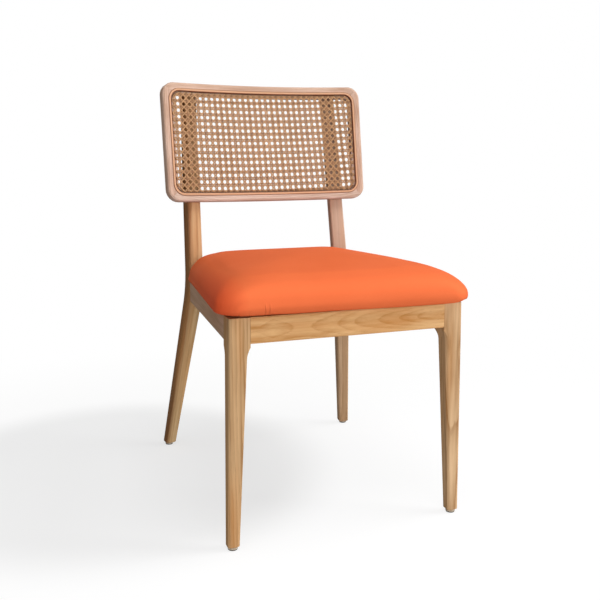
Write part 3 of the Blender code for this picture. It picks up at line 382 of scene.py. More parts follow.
def spline_reed():
    """Pale reed, with painted shade darkening both its edges, where it meets the frame and the cane."""
    make = material_nodes("cane_spline_reed")
    place = make.add("UVMap", uv_map="along").outputs[0]
    fibre = make.drawn(place, (30.0, 90.0, 1.0), 3.0, 0.6)
    patch = make.drawn(place, (3.0, 14.0, 1.0))
    amount = make.plus(make.times(fibre, 0.5), make.times(patch, 0.5), clamp=True)
    colour = make.mix(amount, rgb(228, 186, 152), rgb(186, 136, 100))
    # Painted shade: dark brown along both edges and the inner wall, where the groove's shadow lines fall
    edges = [(0.0, 1.0), (0.16, 0.85), (0.26, 0.0), (0.70, 0.0), (0.84, 0.9), (1.0, 1.0)]
    edge = make.ramp(make.split(place)[0], edges)
    colour = make.mix(make.times(edge, 0.85), colour, rgb(116, 56, 28))
    return make.finish({
        "Base Color": colour, "Roughness": 0.45, "IOR": 1.48, "Specular IOR Level": 0.1,
        "Normal": make.bump(fibre, 0.25, 0.0001),
    })


# Puckers of the pad's front edge: place across, lowest and highest point
PUCKERS = (
    (-0.1580, 0.4110, 0.4350), (-0.1505, 0.4100, 0.4350), (-0.2021, 0.4100, 0.4190),
    (-0.1842, 0.4100, 0.4200), (-0.1455, 0.4100, 0.4190),
)
PUCKER_WIDTH = 0.0011
PEBBLE_SCALE, DRIFT_SCALE, DRIFT = 900.0, 260.0, 0.0016
SEAT_SLOPE, PLY_THICKNESS = math.radians(0.9), 0.0030
# Painted shade: where a deeper, redder tint over the pad's left side starts and is full, and its share
SHADE_TINT_START, SHADE_TINT_END, SHADE_TINT_SHARE = -0.185, -0.230, 0.85


def pucker(make, place, x, low, high):
    """Soft upright ridge at a place along the pad's front edge."""
    across, _, height = make.split(place)
    across = make.math("DIVIDE", make.minus(across, x), PUCKER_WIDTH)
    ridge = make.math("POWER", math.e, make.times(make.times(across, across), -1.0))
    share = make.math("DIVIDE", make.minus(height, low), high - low)
    return make.times(ridge, make.ramp(share, [(0.0, 0.0), (0.3, 1.0), (0.6, 0.8), (1.0, 0.0)]))


def leather():
    """Semi-matte coated leather with a fine pebble grain, small puckers and painted shade, a deeper red, at
    the left side.
    """
    make = material_nodes("orange_leather")
    place = make.place()
    drift = make.add("TexNoise", {"Vector": place, "Scale": DRIFT_SCALE, "Detail": 2.0})
    drift = make.stretch(drift.outputs["Color"], (DRIFT, DRIFT, DRIFT))
    sockets = {"Vector": make.vector("ADD", place, drift), "Scale": PEBBLE_SCALE}
    cells = make.add("TexVoronoi", sockets, feature="DISTANCE_TO_EDGE")
    pebble = make.levels(cells.outputs["Distance"], 0.0, 0.12)
    fine = make.noise(place, 2400.0)
    patch = make.levels(make.noise(place, 9.0, 3.0), 0.35, 0.70)
    colour = make.mix(make.times(patch, 0.35), rgb(228, 112, 67), rgb(218, 102, 59))
    colour = make.mix(make.times(make.minus(1.0, pebble), 0.14), colour, rgb(168, 60, 26))
    # Painted shade: the pad's left side, which faces away from the lights, is tinted a deeper red
    left = make.span(make.split(place)[0], SHADE_TINT_START, SHADE_TINT_END)
    colour = make.mix(make.times(left, SHADE_TINT_SHARE), colour, rgb(225, 88, 50))
    height = make.plus(make.times(pebble, 0.75), make.times(fine, 0.25))
    ridges = 0.0
    for x, low, high in PUCKERS:
        ridges = make.plus(ridges, pucker(make, place, x, low, high))
    normal = make.bump(ridges, 1.0, 0.0015)
    rough = make.plus(make.times(patch, 0.05), 0.42)
    return make.finish({
        "Base Color": colour, "Roughness": rough, "IOR": 1.45, "Specular IOR Level": 0.0, "Metallic": 0.08,
        "Normal": make.bump(height, 0.22, 0.00010, Normal=normal),
    })


def speckled(name, light, dark, scale, roughness, metallic=0.0, strength=0.2, distance=0.0001):
    """Plain material with a fine mottle, for the hidden and small pieces."""
    make = material_nodes(name)
    grain = make.levels(make.noise(make.place(), scale, 3.0, 0.6), 0.30, 0.70)
    return make.finish({
        "Base Color": make.mix(grain, light, dark), "Roughness": roughness, "Metallic": metallic,
        "Normal": make.bump(grain, strength, distance),
    })


def plywood():
    """Face veneer with the plies showing as bands on the edge."""
    make = material_nodes("plywood_board")
    place = make.place()
    _, back, height = make.split(place)
    level = make.plus(height, make.times(back, SEAT_SLOPE))
    plies = make.math("FRACT", make.math("DIVIDE", level, PLY_THICKNESS))
    band = make.levels(plies, 0.42, 0.55)
    fibre = make.drawn(place, (18.0, 600.0, 600.0), 3.0, 0.6)
    amount = make.plus(make.times(band, 0.55), make.times(fibre, 0.45), clamp=True)
    colour = make.mix(amount, rgb(214, 184, 140), rgb(150, 108, 66))
    return make.finish({"Base Color": colour, "Roughness": 0.62, "Normal": make.bump(fibre, 0.25, 0.0001)})


def woven_lining():
    """Black non-woven dust cover, with a fine crossed texture."""
    make = material_nodes("dust_cover_cloth")
    place = make.place()
    across = make.drawn(place, (2400.0, 240.0, 1.0))
    along = make.drawn(place, (240.0, 2400.0, 1.0))
    weave = make.levels(make.math("MAXIMUM", across, along), 0.45, 0.70)
    colour = make.mix(weave, rgb(24, 24, 25), rgb(52, 51, 50))
    return make.finish({"Base Color": colour, "Roughness": 0.88, "Normal": make.bump(weave, 0.35, 0.00012)})


CANE = cane_skin()
SPLINE = spline_reed()
LEATHER = leather()
PLYWOOD = plywood()
LINING = woven_lining()
STEEL = speckled("zinc_steel", rgb(186, 184, 176), rgb(150, 148, 142), 1500.0, 0.34, metallic=1.0)
GLIDE = speckled("glide_plastic", rgb(206, 190, 168), rgb(186, 168, 144), 900.0, 0.50)
FELT = speckled("glide_felt", rgb(74, 70, 66), rgb(44, 41, 38), 2600.0, 0.95, strength=0.8, distance=0.0004)

# Materials of the CAD's nodes by the start of their names
MATERIALS = {
    "front_leg_left": wood("ash_front_leg_left", *LEG_TONES, UPRIGHT, (-0.270, -0.190, 0.0)),
    "front_leg_right": wood(
        "ash_front_leg_right", *RIGHT_LEG_TONES, UPRIGHT, (0.200, -0.190, 0.55), ring=0.0065, figure=0.016,
        drift=5.0, contrast=0.66, warmth=0.25),
    "rear_leg_left": wood(
        "ash_rear_leg_left", *REAR_LEFT_TONES, UPRIGHT, (-0.240, 0.290, 0.1), leg_side=-1,
        left_shade=(-0.1738, -0.1838, 0.78), post=(rgb(166, 110, 78), 0.40)),
    "rear_leg_right": wood(
        "ash_rear_leg_right", *REAR_RIGHT_TONES, UPRIGHT, (0.250, 0.300, 0.2), leg_side=1, warmth=0.15,
        post=(rgb(192, 168, 154), 0.65)),
    "front_rail": wood(
        "ash_front_rail", *RAIL_TONES, ALONG_X, (-0.3885, -0.2764, 0.0), ring=0.0050, figure=0.004,
        drift=10.0, contrast=0.44, arch=RAIL_ARCHES),
    "side_rail": wood(
        "ash_side_rail", *SIDE_TONES, ALONG_Y, (0.10, 0.330, 0.0), ring=0.0050, figure=0.008, drift=4.0,
        warmth=0.1),
    "back_top_rail": wood(
        "ash_back_rail", *BACK_TONES, ALONG_X, (-0.50, 0.080, 0.0), warmth=0.05, **BACK_GRAIN),
    "back_bottom_rail": wood(
        "ash_back_lower_rail", *BACK_LOWER_TONES, ALONG_X, (-0.50, 0.080, 0.0), warmth=0.0, **BACK_GRAIN),
    "back_stile": wood(
        "ash_back_stile", *BACK_TONES, UPRIGHT, (0.02, 0.080, 0.0), warmth=0.05, **BACK_GRAIN),
    "seat_board": PLYWOOD, "glide": GLIDE, "felt_pad": FELT,
}
MATERIALS["rear_rail"] = MATERIALS["front_rail"]
for side in ("left", "right"):
    for height in ("lower", "upper"):
        MATERIALS[f"screw_plug_{height}_{side}"] = MATERIALS[f"rear_leg_{side}"]
block_wood = wood(
    "ash_blocks", *RAIL_TONES, ALONG_X, (-0.30, 0.30, 0.0), ring=0.0050, figure=0.008, drift=3.0)

for name, node in nodes.items():
    picked = STEEL if "screw" in name else block_wood
    for start, material in MATERIALS.items():
        if name.startswith(start):
            picked = material
    node.data.materials.clear()
    node.data.materials.append(picked)


# Softened arrises on the rails, which the CAD leaves sharp

for name in ("front_rail", "rear_rail", "side_rail_left", "side_rail_right"):
    bevel = nodes[name].modifiers.new("arris", "BEVEL")
    bevel.width = 0.0006
    bevel.segments = 2
    bevel.limit_method = "ANGLE"
    bevel.angle_limit = math.radians(50)


# Back panel frame, in which the cane lies flat before it is bent and leant back

PANEL_WIDTH, PANEL_HEIGHT = 0.4520, 0.2524
BEND_RADIUS = 1.2760
PANEL_RAKE = math.radians(9.4)
PANEL_ORIGIN = Vector((0.0, 0.18905, 0.5715))
GROOVE_INNER = 0.0204
WEB_DEPTH = 0.0021
back_matrix = Matrix.Translation(PANEL_ORIGIN) @ Matrix.Rotation(-PANEL_RAKE, 4, "X")


def bent(x, depth, height):
    """World place of a point of the flat panel, as the CAD bends and leans it."""
    angle = x / BEND_RADIUS
    radius = BEND_RADIUS + depth
    back = radius * math.cos(angle) - BEND_RADIUS
    return back_matrix @ Vector((radius * math.sin(angle), back, height))


# Cane: pairs of uprights and pairs of level strands, woven, and two sets of diagonals over them

PITCH_X, PITCH_Z = 0.013005, 0.013750
COLUMNS, ROWS, MIDDLE_ROW = range(-19, 19), range(-1, 18), 8
DIAGONALS, DIAGONAL_START = range(-36, 56), 18.0
PAIR_HALF = 0.00165
STRAND_WIDTH, DIAGONAL_WIDTH = 0.00280, 0.00260
THICKNESS = 0.00050
STRAND_SECTION = ((-0.5, 0.0), (-0.34, 0.5), (0.34, 0.5), (0.5, 0.0), (0.34, -0.5), (-0.34, -0.5))
PAIR_TONES, DIAGONAL_TONES = (0.50, 1.0), (0.0, 0.25)
WEAVE = 0.00028
DIAGONAL_LIFT, DIAGONAL_WEAVE = 0.00050, 0.00015
RIM_RADIUS, HALVINGS = 0.0190, 18
TURN_DOWN, END_PUSH, END_SLANT = 0.0030, 0.0004, 0.8

# How the web is stretched: moved, off square, wider towards the bottom, and with bowed rows
SHIFT_X, SHIFT_Z = 0.00393, 0.006815
LEAN, TILT = 0.0431, 0.0100
SPREAD, ROW_STRETCH, ROW_BOW = 0.111, 0.158, 0.034

# How far strands stray by chance
STRAY, SWAY, SWAY_PLACES = 0.00022, 0.00016, 7
WIDTH_CHANGE = (0.90, 1.06)
FIBRE_START = 3

half_width, half_height = PANEL_WIDTH / 2 - GROOVE_INNER, PANEL_HEIGHT / 2 - GROOVE_INNER
mid_height = PANEL_HEIGHT / 2
first_row = mid_height - PITCH_Z * MIDDLE_ROW


def inside_rim(x, z):
    """Whether a point of the flat panel lies within the rounded outline of the groove's inner edge."""
    reach_x = abs(x) - (half_width - RIM_RADIUS)
    reach_z = abs(z - mid_height) - (half_height - RIM_RADIUS)
    return math.hypot(max(reach_x, 0.0), max(reach_z, 0.0)) < RIM_RADIUS


def clipped(path):
    """The part of a path of (x, z, lift) within the rim, with both its ends on the rim."""
    kept = []
    for first, second in zip(path, path[1:]):
        first_in, second_in = inside_rim(*first[:2]), inside_rim(*second[:2])
        if first_in and not kept:
            kept.append(first)
        if first_in != second_in:
            low, high = 0.0, 1.0
            for _ in range(HALVINGS):
                middle = (low + high) / 2
                x, z = (a + (b - a) * middle for a, b in zip(first[:2], second[:2]))
                if inside_rim(x, z) == first_in:
                    low = middle
                else:
                    high = middle
            kept.append(tuple(a + (b - a) * low for a, b in zip(first, second)))
        if second_in:
            kept.append(second)
    return kept


def pulled(x, z, lift):
    """Place of a point once the web is stretched."""
    x, z = x + SHIFT_X, z + SHIFT_Z
    rise = z - mid_height
    across = x - LEAN * rise - SPREAD * x * rise
    return across, z + TILT * x - ROW_STRETCH * rise ** 2 + ROW_BOW * x ** 2, lift


cane = bmesh.new()
along_layer = cane.loops.layers.uv.new("along")
tone_layer = cane.verts.layers.float.new("tone")


def add_ring(spots, tone):
    """Ring of vertices at flat places with their depths."""
    ring = []
    for spot, depth in spots:
        vert = cane.verts.new(bent(spot.x, depth, spot.y))
        vert[tone_layer] = tone
        ring.append(vert)
    return ring


def strand(path, width, tones):
    """Flat strand along a path of (x, z, lift). Both its ends turn down into the groove."""
    path = clipped([pulled(*point) for point in path])
    if len(path) < 3:
        return
    tone = chance.uniform(*tones)
    aside = chance.uniform(-STRAY, STRAY)
    sway = [aside + chance.uniform(-SWAY, SWAY) for _ in range(SWAY_PLACES)]
    width *= chance.uniform(*WIDTH_CHANGE)
    length = chance.uniform(0, FIBRE_START)
    rings, lengths = [], []
    places = [Vector(point[:2]) for point in path]
    ends = len(path) - 1
    for i, here in enumerate(places):
        ahead = places[min(i + 1, ends)] - places[max(i - 1, 0)]
        side = Vector((-ahead.y, ahead.x)).normalized()
        if i:
            length += (here - places[i - 1]).length
        lengths.append(length)
        centre = here + side * sway[i % SWAY_PLACES]
        depth = WEB_DEPTH - path[i][2]
        rings.append(add_ring([
            (centre + side * across * width, depth - rise * THICKNESS)
            for across, rise in STRAND_SECTION
        ], tone))
    tips = []
    for end, inner in ((0, 1), (ends, ends - 1)):
        outward = (places[end] - places[inner]).normalized() * END_PUSH
        side = Vector((-outward.y, outward.x)).normalized() * (1 if end else -1)
        centre = places[end] + outward
        tips.append(add_ring([
            (centre + side * across * width - outward * rise * END_SLANT, WEB_DEPTH + TURN_DOWN)
            for across, rise in STRAND_SECTION
        ], tone))
    rings = [tips[0], *rings, tips[1]]
    lengths = [lengths[0] - TURN_DOWN, *lengths, lengths[-1] + TURN_DOWN]
    count = len(STRAND_SECTION)
    for face, i, j in bridge(cane, rings):
        face.smooth = True
        for loop, (u, v) in zip(face.loops, ((j, i), (j + 1, i), (j + 1, i + 1), (j, i + 1))):
            loop[along_layer].uv = (u / count * width * 2 + tone, lengths[v])


def pairs(upright, lines, crossings, pitch):
    """Two strands along each line, woven with those that cross them."""
    for line in lines:
        for side in (-1, 1):
            across = line + side * PAIR_HALF
            lift = -side * WEAVE if upright else side * WEAVE
            path = []
            for crossing in crossings:
                for step, rise in ((-PAIR_HALF, lift), (PAIR_HALF, -lift), (pitch / 2, 0.0)):
                    along = crossing + step
                    path.append((across, along, rise) if upright else (along, across, rise))
            strand(path, STRAND_WIDTH, PAIR_TONES)


column_places = [(i + 0.5) * PITCH_X for i in COLUMNS]
row_places = [first_row + j * PITCH_Z for j in ROWS]
pairs(True, column_places, row_places, PITCH_Z)
pairs(False, row_places, column_places, PITCH_X)
for slant in (1, -1):
    for start in DIAGONALS:
        path = []
        for quarter in range(-4, 4 * len(ROWS) + 4):
            j = quarter / 4
            i = start - DIAGONAL_START + slant * j
            lift = DIAGONAL_LIFT + DIAGONAL_WEAVE * (slant - math.cos(math.tau * (i + 0.5)))
            path.append(((i + 1) * PITCH_X, first_row + (j - 1) * PITCH_Z, lift))
        strand(path, DIAGONAL_WIDTH, DIAGONAL_TONES)
woven_cane = add_object("woven_cane", cane, CANE)
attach(woven_cane, "root")
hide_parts("cane_web")


# Cane spline: a rounded reed round the opening, which stands a little proud and laps the frame's face

REED_OUTER, REED_INNER = 0.0124, 0.0184
REED_CORNER = 0.0370
REED_UV_STEP = 0.01
CORNER_STEPS = 12
LONG_SIDE_STEPS, SHORT_SIDE_STEPS = 20, 8
REED_SECTION = (
    (0.0, 0.0), (0.0, -0.0004), (0.12, -0.0009), (0.35, -0.0012), (0.65, -0.0011), (0.88, -0.0007),
    (1.0, 0.0002), (1.0, 0.0055), (0.52, 0.0055), (0.52, 0.0),
)


def panel_loop(inset, radius):
    """Rounded rectangle on the flat panel, with enough points along each side to bend."""
    reach_x = PANEL_WIDTH / 2 - inset - radius
    reach_z = PANEL_HEIGHT / 2 - inset - radius
    corners = ((reach_x, reach_z), (-reach_x, reach_z), (-reach_x, -reach_z), (reach_x, -reach_z))
    arcs = []
    for k, (x, z) in enumerate(corners):
        turns = [math.radians(90 * k + 90 * step / CORNER_STEPS) for step in range(CORNER_STEPS + 1)]
        z += PANEL_HEIGHT / 2
        arcs.append([Vector((x + radius * math.cos(turn), z + radius * math.sin(turn))) for turn in turns])
    points = []
    for k, arc in enumerate(arcs):
        start, end = arc[-1], arcs[(k + 1) % len(arcs)][0]
        count = SHORT_SIDE_STEPS if k % 2 else LONG_SIDE_STEPS
        points += arc + [start.lerp(end, step / count) for step in range(1, count)]
    return points


reed = bmesh.new()
reed_layer = reed.loops.layers.uv.new("along")
rings = []
for share, depth in REED_SECTION:
    inset = REED_OUTER + (REED_INNER - REED_OUTER) * share
    loop = panel_loop(inset, REED_CORNER - inset)
    rings.append([reed.verts.new(bent(point.x, depth, point.y)) for point in loop])
shares = [share for share, _ in REED_SECTION + REED_SECTION[:1]]
for face, r, i in bridge(reed, rings + rings[:1], capped=False):
    face.smooth = True
    low, high = shares[r], shares[r + 1]
    for corner, (u, v) in zip(face.loops, ((low, i), (low, i + 1), (high, i + 1), (high, i))):
        corner[reed_layer].uv = (u, v * REED_UV_STEP)
bmesh.ops.recalc_face_normals(reed, faces=reed.faces)
cane_reed = add_object("cane_reed", reed, SPLINE)
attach(cane_reed, "root")
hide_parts("cane_spline")


# Seat pad, in the tilted seat frame of the CAD: the same formulas with dense rings, then swelled as cloth

RAIL_TOP = 0.4085
RAIL_FACE_X, RAIL_FACE_TAPER = 0.2154707, 0.0730331
BLOCK_REAR_Y = -0.236424
BLOCK_DEPTH = 0.0400
PAD_REAR_Y = 0.43265
PAD_MIDDLE = Vector((0.0, 0.1513))
CROWN_MIDDLE = Vector((0.0, (PAD_REAR_Y - BLOCK_DEPTH) / 2))
PAD_HEIGHT = 0.0770
SHOULDER_DROP = 0.0140
SHOULDER_WIDTH = 0.0680
BULGE_HEIGHT = 0.0105
SHOULDER_SHARE = 0.24
FRONT_RADIUS, REAR_RADIUS = 0.0450, 0.0200
NOTCH_X, NOTCH_Y = 0.15067, 0.40347
NOTCH_RADIUS, NOTCH_INNER_RADIUS = 0.0040, 0.0050
FAR_SIDE, FAR_FRONT, FAR_REAR = 0.40, -0.30, 0.70
HEM_LOW, HEM_WIDTH, HEM_NOTCH = 0.0018, 0.0300, 0.0110
HEM_FLATNESS = 0.0015
COVER_THICKNESS = 0.0012

# How far the bulge stands out at the front, at the rear, and at both ends of the sides
OUT_FRONT, OUT_REAR = 0.0150, 0.0050
OUT_FRONT_SIDE, OUT_REAR_SIDE = 0.0245, 0.0065

# The pad starts a little small, and is swelled by no more than the limit
START_INSIDE, START_LOW = 0.0005, 0.0015
SWELL_LIMIT, SWELL_FRAMES, EVENING_ROUNDS = 0.0020, 20, 40
VOXEL_SIZE = 0.0050
HELD_TOP, HELD_FADE = 0.014, 0.010
TOP_START, TOP_FADE = 0.020, 0.020
HEM_RINGS, HEM_STEP = 8, 0.0036
BULGE_STEPS, SIDE_STEPS, CROWN_RINGS, OUTLINE_POINTS = 5, 18, 16, 300
LEAST_CROSSING, EDGE_SLACK = 1e-12, 1e-6
CROWN = HEM_LOW + PAD_HEIGHT - START_LOW
CLOTH_SETTINGS = {
    "quality": 5, "use_pressure": True, "uniform_pressure_force": 4.0, "vertex_group_mass": "held",
    "tension_stiffness": 30.0, "compression_stiffness": 30.0, "bending_stiffness": 4.0,
}
seat_matrix = Matrix.Translation((0.0, BLOCK_REAR_Y, RAIL_TOP)) @ Matrix.Rotation(-SEAT_SLOPE, 4, "X")
turns = [math.tau * i / OUTLINE_POINTS for i in range(OUTLINE_POINTS)]
directions = [Vector((math.cos(turn), math.sin(turn))) for turn in turns]


def rounded(corners, radii, steps=10):
    """Closed flat outline through corners, each rounded to its radius."""
    count = len(corners)
    points = []
    for i, corner in enumerate(corners):
        before = (corners[i - 1] - corner).normalized()
        after = (corners[(i + 1) % count] - corner).normalized()
        half = before.angle(after) / 2
        centre = corner + (before + after).normalized() * radii[i] / math.sin(half)
        start = corner + before * radii[i] / math.tan(half) - centre
        end = corner + after * radii[i] / math.tan(half) - centre
        points += [centre + start.lerp(end, j / steps).normalized() * radii[i] for j in range(steps + 1)]
    return points


def rail_face_x(y):
    """Outer face of a side rail, which runs inwards to the rear."""
    return RAIL_FACE_X - RAIL_FACE_TAPER * y


def pad_body(out, draw):
    """Outline of the pad without its notches. out is the bulge's share, and draw an offset inwards."""
    front = -BLOCK_DEPTH - OUT_FRONT * out + draw
    rear = PAD_REAR_Y + OUT_REAR * out - draw
    front_x = rail_face_x(front) + OUT_FRONT_SIDE * out - draw
    rear_x = rail_face_x(rear) + OUT_REAR_SIDE * out - draw
    corners = [Vector(p) for p in ((front_x, front), (rear_x, rear), (-rear_x, rear), (-front_x, front))]
    return rounded(corners, [FRONT_RADIUS, REAR_RADIUS, REAR_RADIUS, FRONT_RADIUS])


def pad_notches(draw):
    """Outline that leaves room for the posts at the rear, and lies well outside the pad elsewhere."""
    x, y = NOTCH_X - draw, NOTCH_Y - draw
    half = [Vector(p) for p in ((FAR_SIDE, FAR_FRONT), (FAR_SIDE, y), (x, y), (x, FAR_REAR))]
    corners = half + [Vector((-p.x, p.y)) for p in reversed(half)]
    radii = [NOTCH_RADIUS, NOTCH_RADIUS, NOTCH_INNER_RADIUS, NOTCH_RADIUS]
    return rounded(corners, radii + radii[::-1])


def reach(outline, direction):
    """How far an outline lies from the pad's middle in a direction."""
    found = []
    for point, following in zip(outline, outline[1:] + outline[:1]):
        edge = following - point
        crossing = direction.cross(edge)
        if abs(crossing) < LEAST_CROSSING:
            continue
        offset = point - PAD_MIDDLE
        along, share = offset.cross(edge) / crossing, offset.cross(direction) / crossing
        if along > 0 and -EDGE_SLACK <= share <= 1 + EDGE_SLACK:
            found.append(along)
    return min(found)


def pad_outline(out, draw, notch_draw):
    body, notches = pad_body(out, draw), pad_notches(notch_draw)
    return [PAD_MIDDLE + way * min(reach(body, way), reach(notches, way)) for way in directions]


def pad_profile():
    """Steps up the pad's side as (height, bulge share, draw), to where the side's slope meets the crown's."""
    steps = []
    for i in range(1, BULGE_STEPS + 1):
        height = BULGE_HEIGHT * (1 - math.cos(math.pi / 2 * i / BULGE_STEPS))
        steps.append((height, math.sqrt(max(0.0, 1 - (1 - height / BULGE_HEIGHT) ** 2)), 0.0))
    side_height = PAD_HEIGHT - SHOULDER_DROP - BULGE_HEIGHT
    last = math.acos(SHOULDER_SHARE)
    for i in range(1, SIDE_STEPS + 1):
        turn = last * i / SIDE_STEPS
        height = BULGE_HEIGHT + side_height * math.sin(turn)
        steps.append((height, 1.0, SHOULDER_WIDTH * (1 - math.cos(turn))))
    return steps


def pad_rings():
    """Rings of the pad's skin, from under its hem, up the side and over the crown."""
    rings = []
    for step in range(1, HEM_RINGS + 1):
        line = pad_outline(0.0, START_INSIDE + (HEM_RINGS - step) ** 2 * HEM_STEP, START_INSIDE)
        rings.append([(p.x, p.y, HEM_LOW) for p in line])
    for height, out, draw in pad_profile():
        line = pad_outline(out, START_INSIDE + draw, START_INSIDE)
        rings.append([(p.x, p.y, HEM_LOW + height - START_LOW * height / PAD_HEIGHT) for p in line])
    edge, start = rings[-1], rings[-1][0][2]
    for i in range(1, CROWN_RINGS):
        share = 1 - i / CROWN_RINGS
        height = start + (CROWN - start) * (1 - share ** 2)
        rings.append([(*CROWN_MIDDLE.lerp(Vector(p[:2]), share), height) for p in edge])
    return rings


def swell(pad):
    """Swells the pad as cloth under a little pressure, held down on the board, and evens the result."""
    before = [vert.co.copy() for vert in pad.data.vertices]
    normals = [vert.normal.copy() for vert in pad.data.vertices]
    held = pad.vertex_groups.new(name="held")
    for vert in pad.data.vertices:
        held.add([vert.index], clamped((HEM_LOW + HELD_TOP - vert.co.z) / HELD_FADE), "REPLACE")
    cloth = pad.modifiers.new("swell", "CLOTH")
    for key, value in CLOTH_SETTINGS.items():
        setattr(cloth.settings, key, value)
    cloth.settings.effector_weights.gravity = 0.0
    cloth.collision_settings.use_collision = False
    for step in range(1, SWELL_FRAMES + 1):
        scene.frame_set(step)
    settle(pad)
    swells = [(v.co - start).dot(normal) for v, start, normal in zip(pad.data.vertices, before, normals)]
    for _ in range(EVENING_ROUNDS):
        sums, counts = list(swells), [1] * len(swells)
        for edge in pad.data.edges:
            a, b = edge.vertices
            sums[a] += swells[b]
            sums[b] += swells[a]
            counts[a] += 1
            counts[b] += 1
        swells = [total / count for total, count in zip(sums, counts)]
    for vert, start, normal, amount in zip(pad.data.vertices, before, normals, swells):
        vert.co = start + normal * SWELL_LIMIT * math.tanh(max(0.0, amount) / SWELL_LIMIT)


shape = bmesh.new()
loops = [[shape.verts.new(p) for p in ring] for ring in pad_rings()]
bridge(shape, loops, capped=False)
for ring, centre in ((loops[0], (*PAD_MIDDLE, HEM_LOW)), (loops[-1], (*CROWN_MIDDLE, CROWN))):
    hub = shape.verts.new(centre)
    for i in range(len(ring)):
        shape.faces.new((ring[i], ring[(i + 1) % len(ring)], hub))
bmesh.ops.recalc_face_normals(shape, faces=shape.faces)
pad = add_object("seat_pad", shape, LEATHER)
remesh = pad.modifiers.new("even", "REMESH")
remesh.mode = "VOXEL"
remesh.voxel_size = VOXEL_SIZE
settle(pad)
swell(pad)
scene.frame_set(1)
hem_reach = [(point - PAD_MIDDLE).length for point in pad_outline(0.0, HEM_WIDTH, HEM_NOTCH)]


def hem_share(point):
    """How far out a point lies, as a share of the way from the pad's middle to the hem's edge."""
    offset = point.xy - PAD_MIDDLE
    place = (math.atan2(offset.y, offset.x) % math.tau) / math.tau * len(hem_reach)
    first = int(place) % len(hem_reach)
    change = hem_reach[(first + 1) % len(hem_reach)] - hem_reach[first]
    return offset.length / (hem_reach[first] + change * (place - int(place)))


# The pad's underside is opened inside the hem, whose edge is then drawn to its line
skin = bmesh.new()
skin.from_mesh(pad.data)
flat = []
for face in skin.faces:
    centre = face.calc_center_median()
    if centre.z < HEM_LOW + HEM_FLATNESS and hem_share(centre) < 1:
        flat.append(face)
bmesh.ops.delete(skin, geom=flat, context="FACES")
for vert in skin.verts:
    if vert.is_boundary:
        spot = PAD_MIDDLE + (vert.co.xy - PAD_MIDDLE) / hem_share(vert.co)
        vert.co = (*spot, HEM_LOW)
skin.to_mesh(pad.data)
skin.free()
rounding = pad.modifiers.new("rounding", "SMOOTH")
rounding.factor = 0.5
rounding.iterations = 14
top = pad.vertex_groups.new(name="top")
for vert in pad.data.vertices:
    top.add([vert.index], clamped((vert.co.z - TOP_START) / TOP_FADE), "REPLACE")
rounding.vertex_group = "top"
settle(pad)

# The pad sits a touch to the right, and its edge comes down on the rail except at the front's left end
SHIFT_RIGHT_SIDE, SHIFT_LEFT_SIDE = 0.0025, 0.0045
FRONT_DROP, FRONT_DROP_TOP = 0.0014, 0.012
LIP_DROP, RIGHT_SIDE_DROP = 0.0030, 0.0028
for vert in pad.data.vertices:
    x, y, z = vert.co
    vert.co.x += SHIFT_RIGHT_SIDE * eased(x, 0.10, 0.20) * eased(y, 0.30, 0.02) * eased(z, 0.050, 0.022)
    vert.co.x += SHIFT_LEFT_SIDE * eased(-x, 0.08, 0.19) * eased(z, 0.004, 0.016) * eased(z, 0.075, 0.055)
    low = max(0.0, 1 - (z - HEM_LOW) / FRONT_DROP_TOP)
    vert.co.z -= FRONT_DROP * low * eased(y, 0.06, 0.0) * eased(x, -0.150, -0.100)
    beyond = max(-BLOCK_DEPTH - y, x - rail_face_x(y))
    vert.co.z -= LIP_DROP * eased(beyond, 0.001, 0.008) * eased(z, 0.020, 0.006) * eased(x, -0.10, 0.12)
    vert.co.z -= RIGHT_SIDE_DROP * eased(x, 0.10, 0.21) * eased(y, 0.20, 0.0) * eased(z, 0.003, 0.012)
pad.data.transform(seat_matrix)
shade_smooth(pad)
smooth = pad.modifiers.new("smooth", "SUBSURF")
smooth.levels = smooth.render_levels = 1
shell = pad.modifiers.new("thickness", "SOLIDIFY")
shell.thickness = COVER_THICKNESS
shell.offset = -1.0
settle(pad)
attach(pad, "root")
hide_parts("seat_cover", "seat_foam")


# Dust cover: a black sheet stretched under the board and stapled to it, which sags a little

SHEET_HEIGHT = 0.00135
SHEET_SAG, SAG_FADE = 0.0022, 0.16
RIPPLE_HEIGHT, RIPPLE_ALONG, RIPPLE_ACROSS = 0.00015, 140, 9
SHEET_FRONT, SHEET_REAR = -0.0150, 0.4015
SHEET_HALF, SHEET_TAPER = 0.19046, 0.07303
BLOCK_FACE_X = 0.1795
SCREW_HOLE_RADIUS = 0.0032
WIDE_STEPS, END_STEPS, LONG_STEPS = 26, 3, 56


def sheet_half(y):
    """Half the sheet's width."""
    return SHEET_HALF - SHEET_TAPER * y


outer = BLOCK_FACE_X / sheet_half(0.0)
shares = [i / WIDE_STEPS * outer for i in range(WIDE_STEPS + 1)]
shares += [outer + (1 - outer) * i / END_STEPS for i in range(1, END_STEPS + 1)]
spread = [-share for share in reversed(shares[1:])] + shares
depths = [SHEET_FRONT, SHEET_FRONT / 2] + [SHEET_REAR * i / LONG_STEPS for i in range(LONG_STEPS + 1)]
sheet = bmesh.new()
grid = []
for y in depths:
    row = []
    for share in spread:
        middle = eased(1 - abs(share), 0.0, 0.5) * eased(y, 0.0, SAG_FADE)
        middle *= eased(y, SHEET_REAR, SHEET_REAR - SAG_FADE)
        ripple = RIPPLE_HEIGHT * math.sin(y * RIPPLE_ALONG + share * RIPPLE_ACROSS) * middle
        x = share * sheet_half(max(0.0, y))
        row.append(sheet.verts.new((x, y, SHEET_HEIGHT - SHEET_SAG * middle + ripple)))
    grid.append(row)
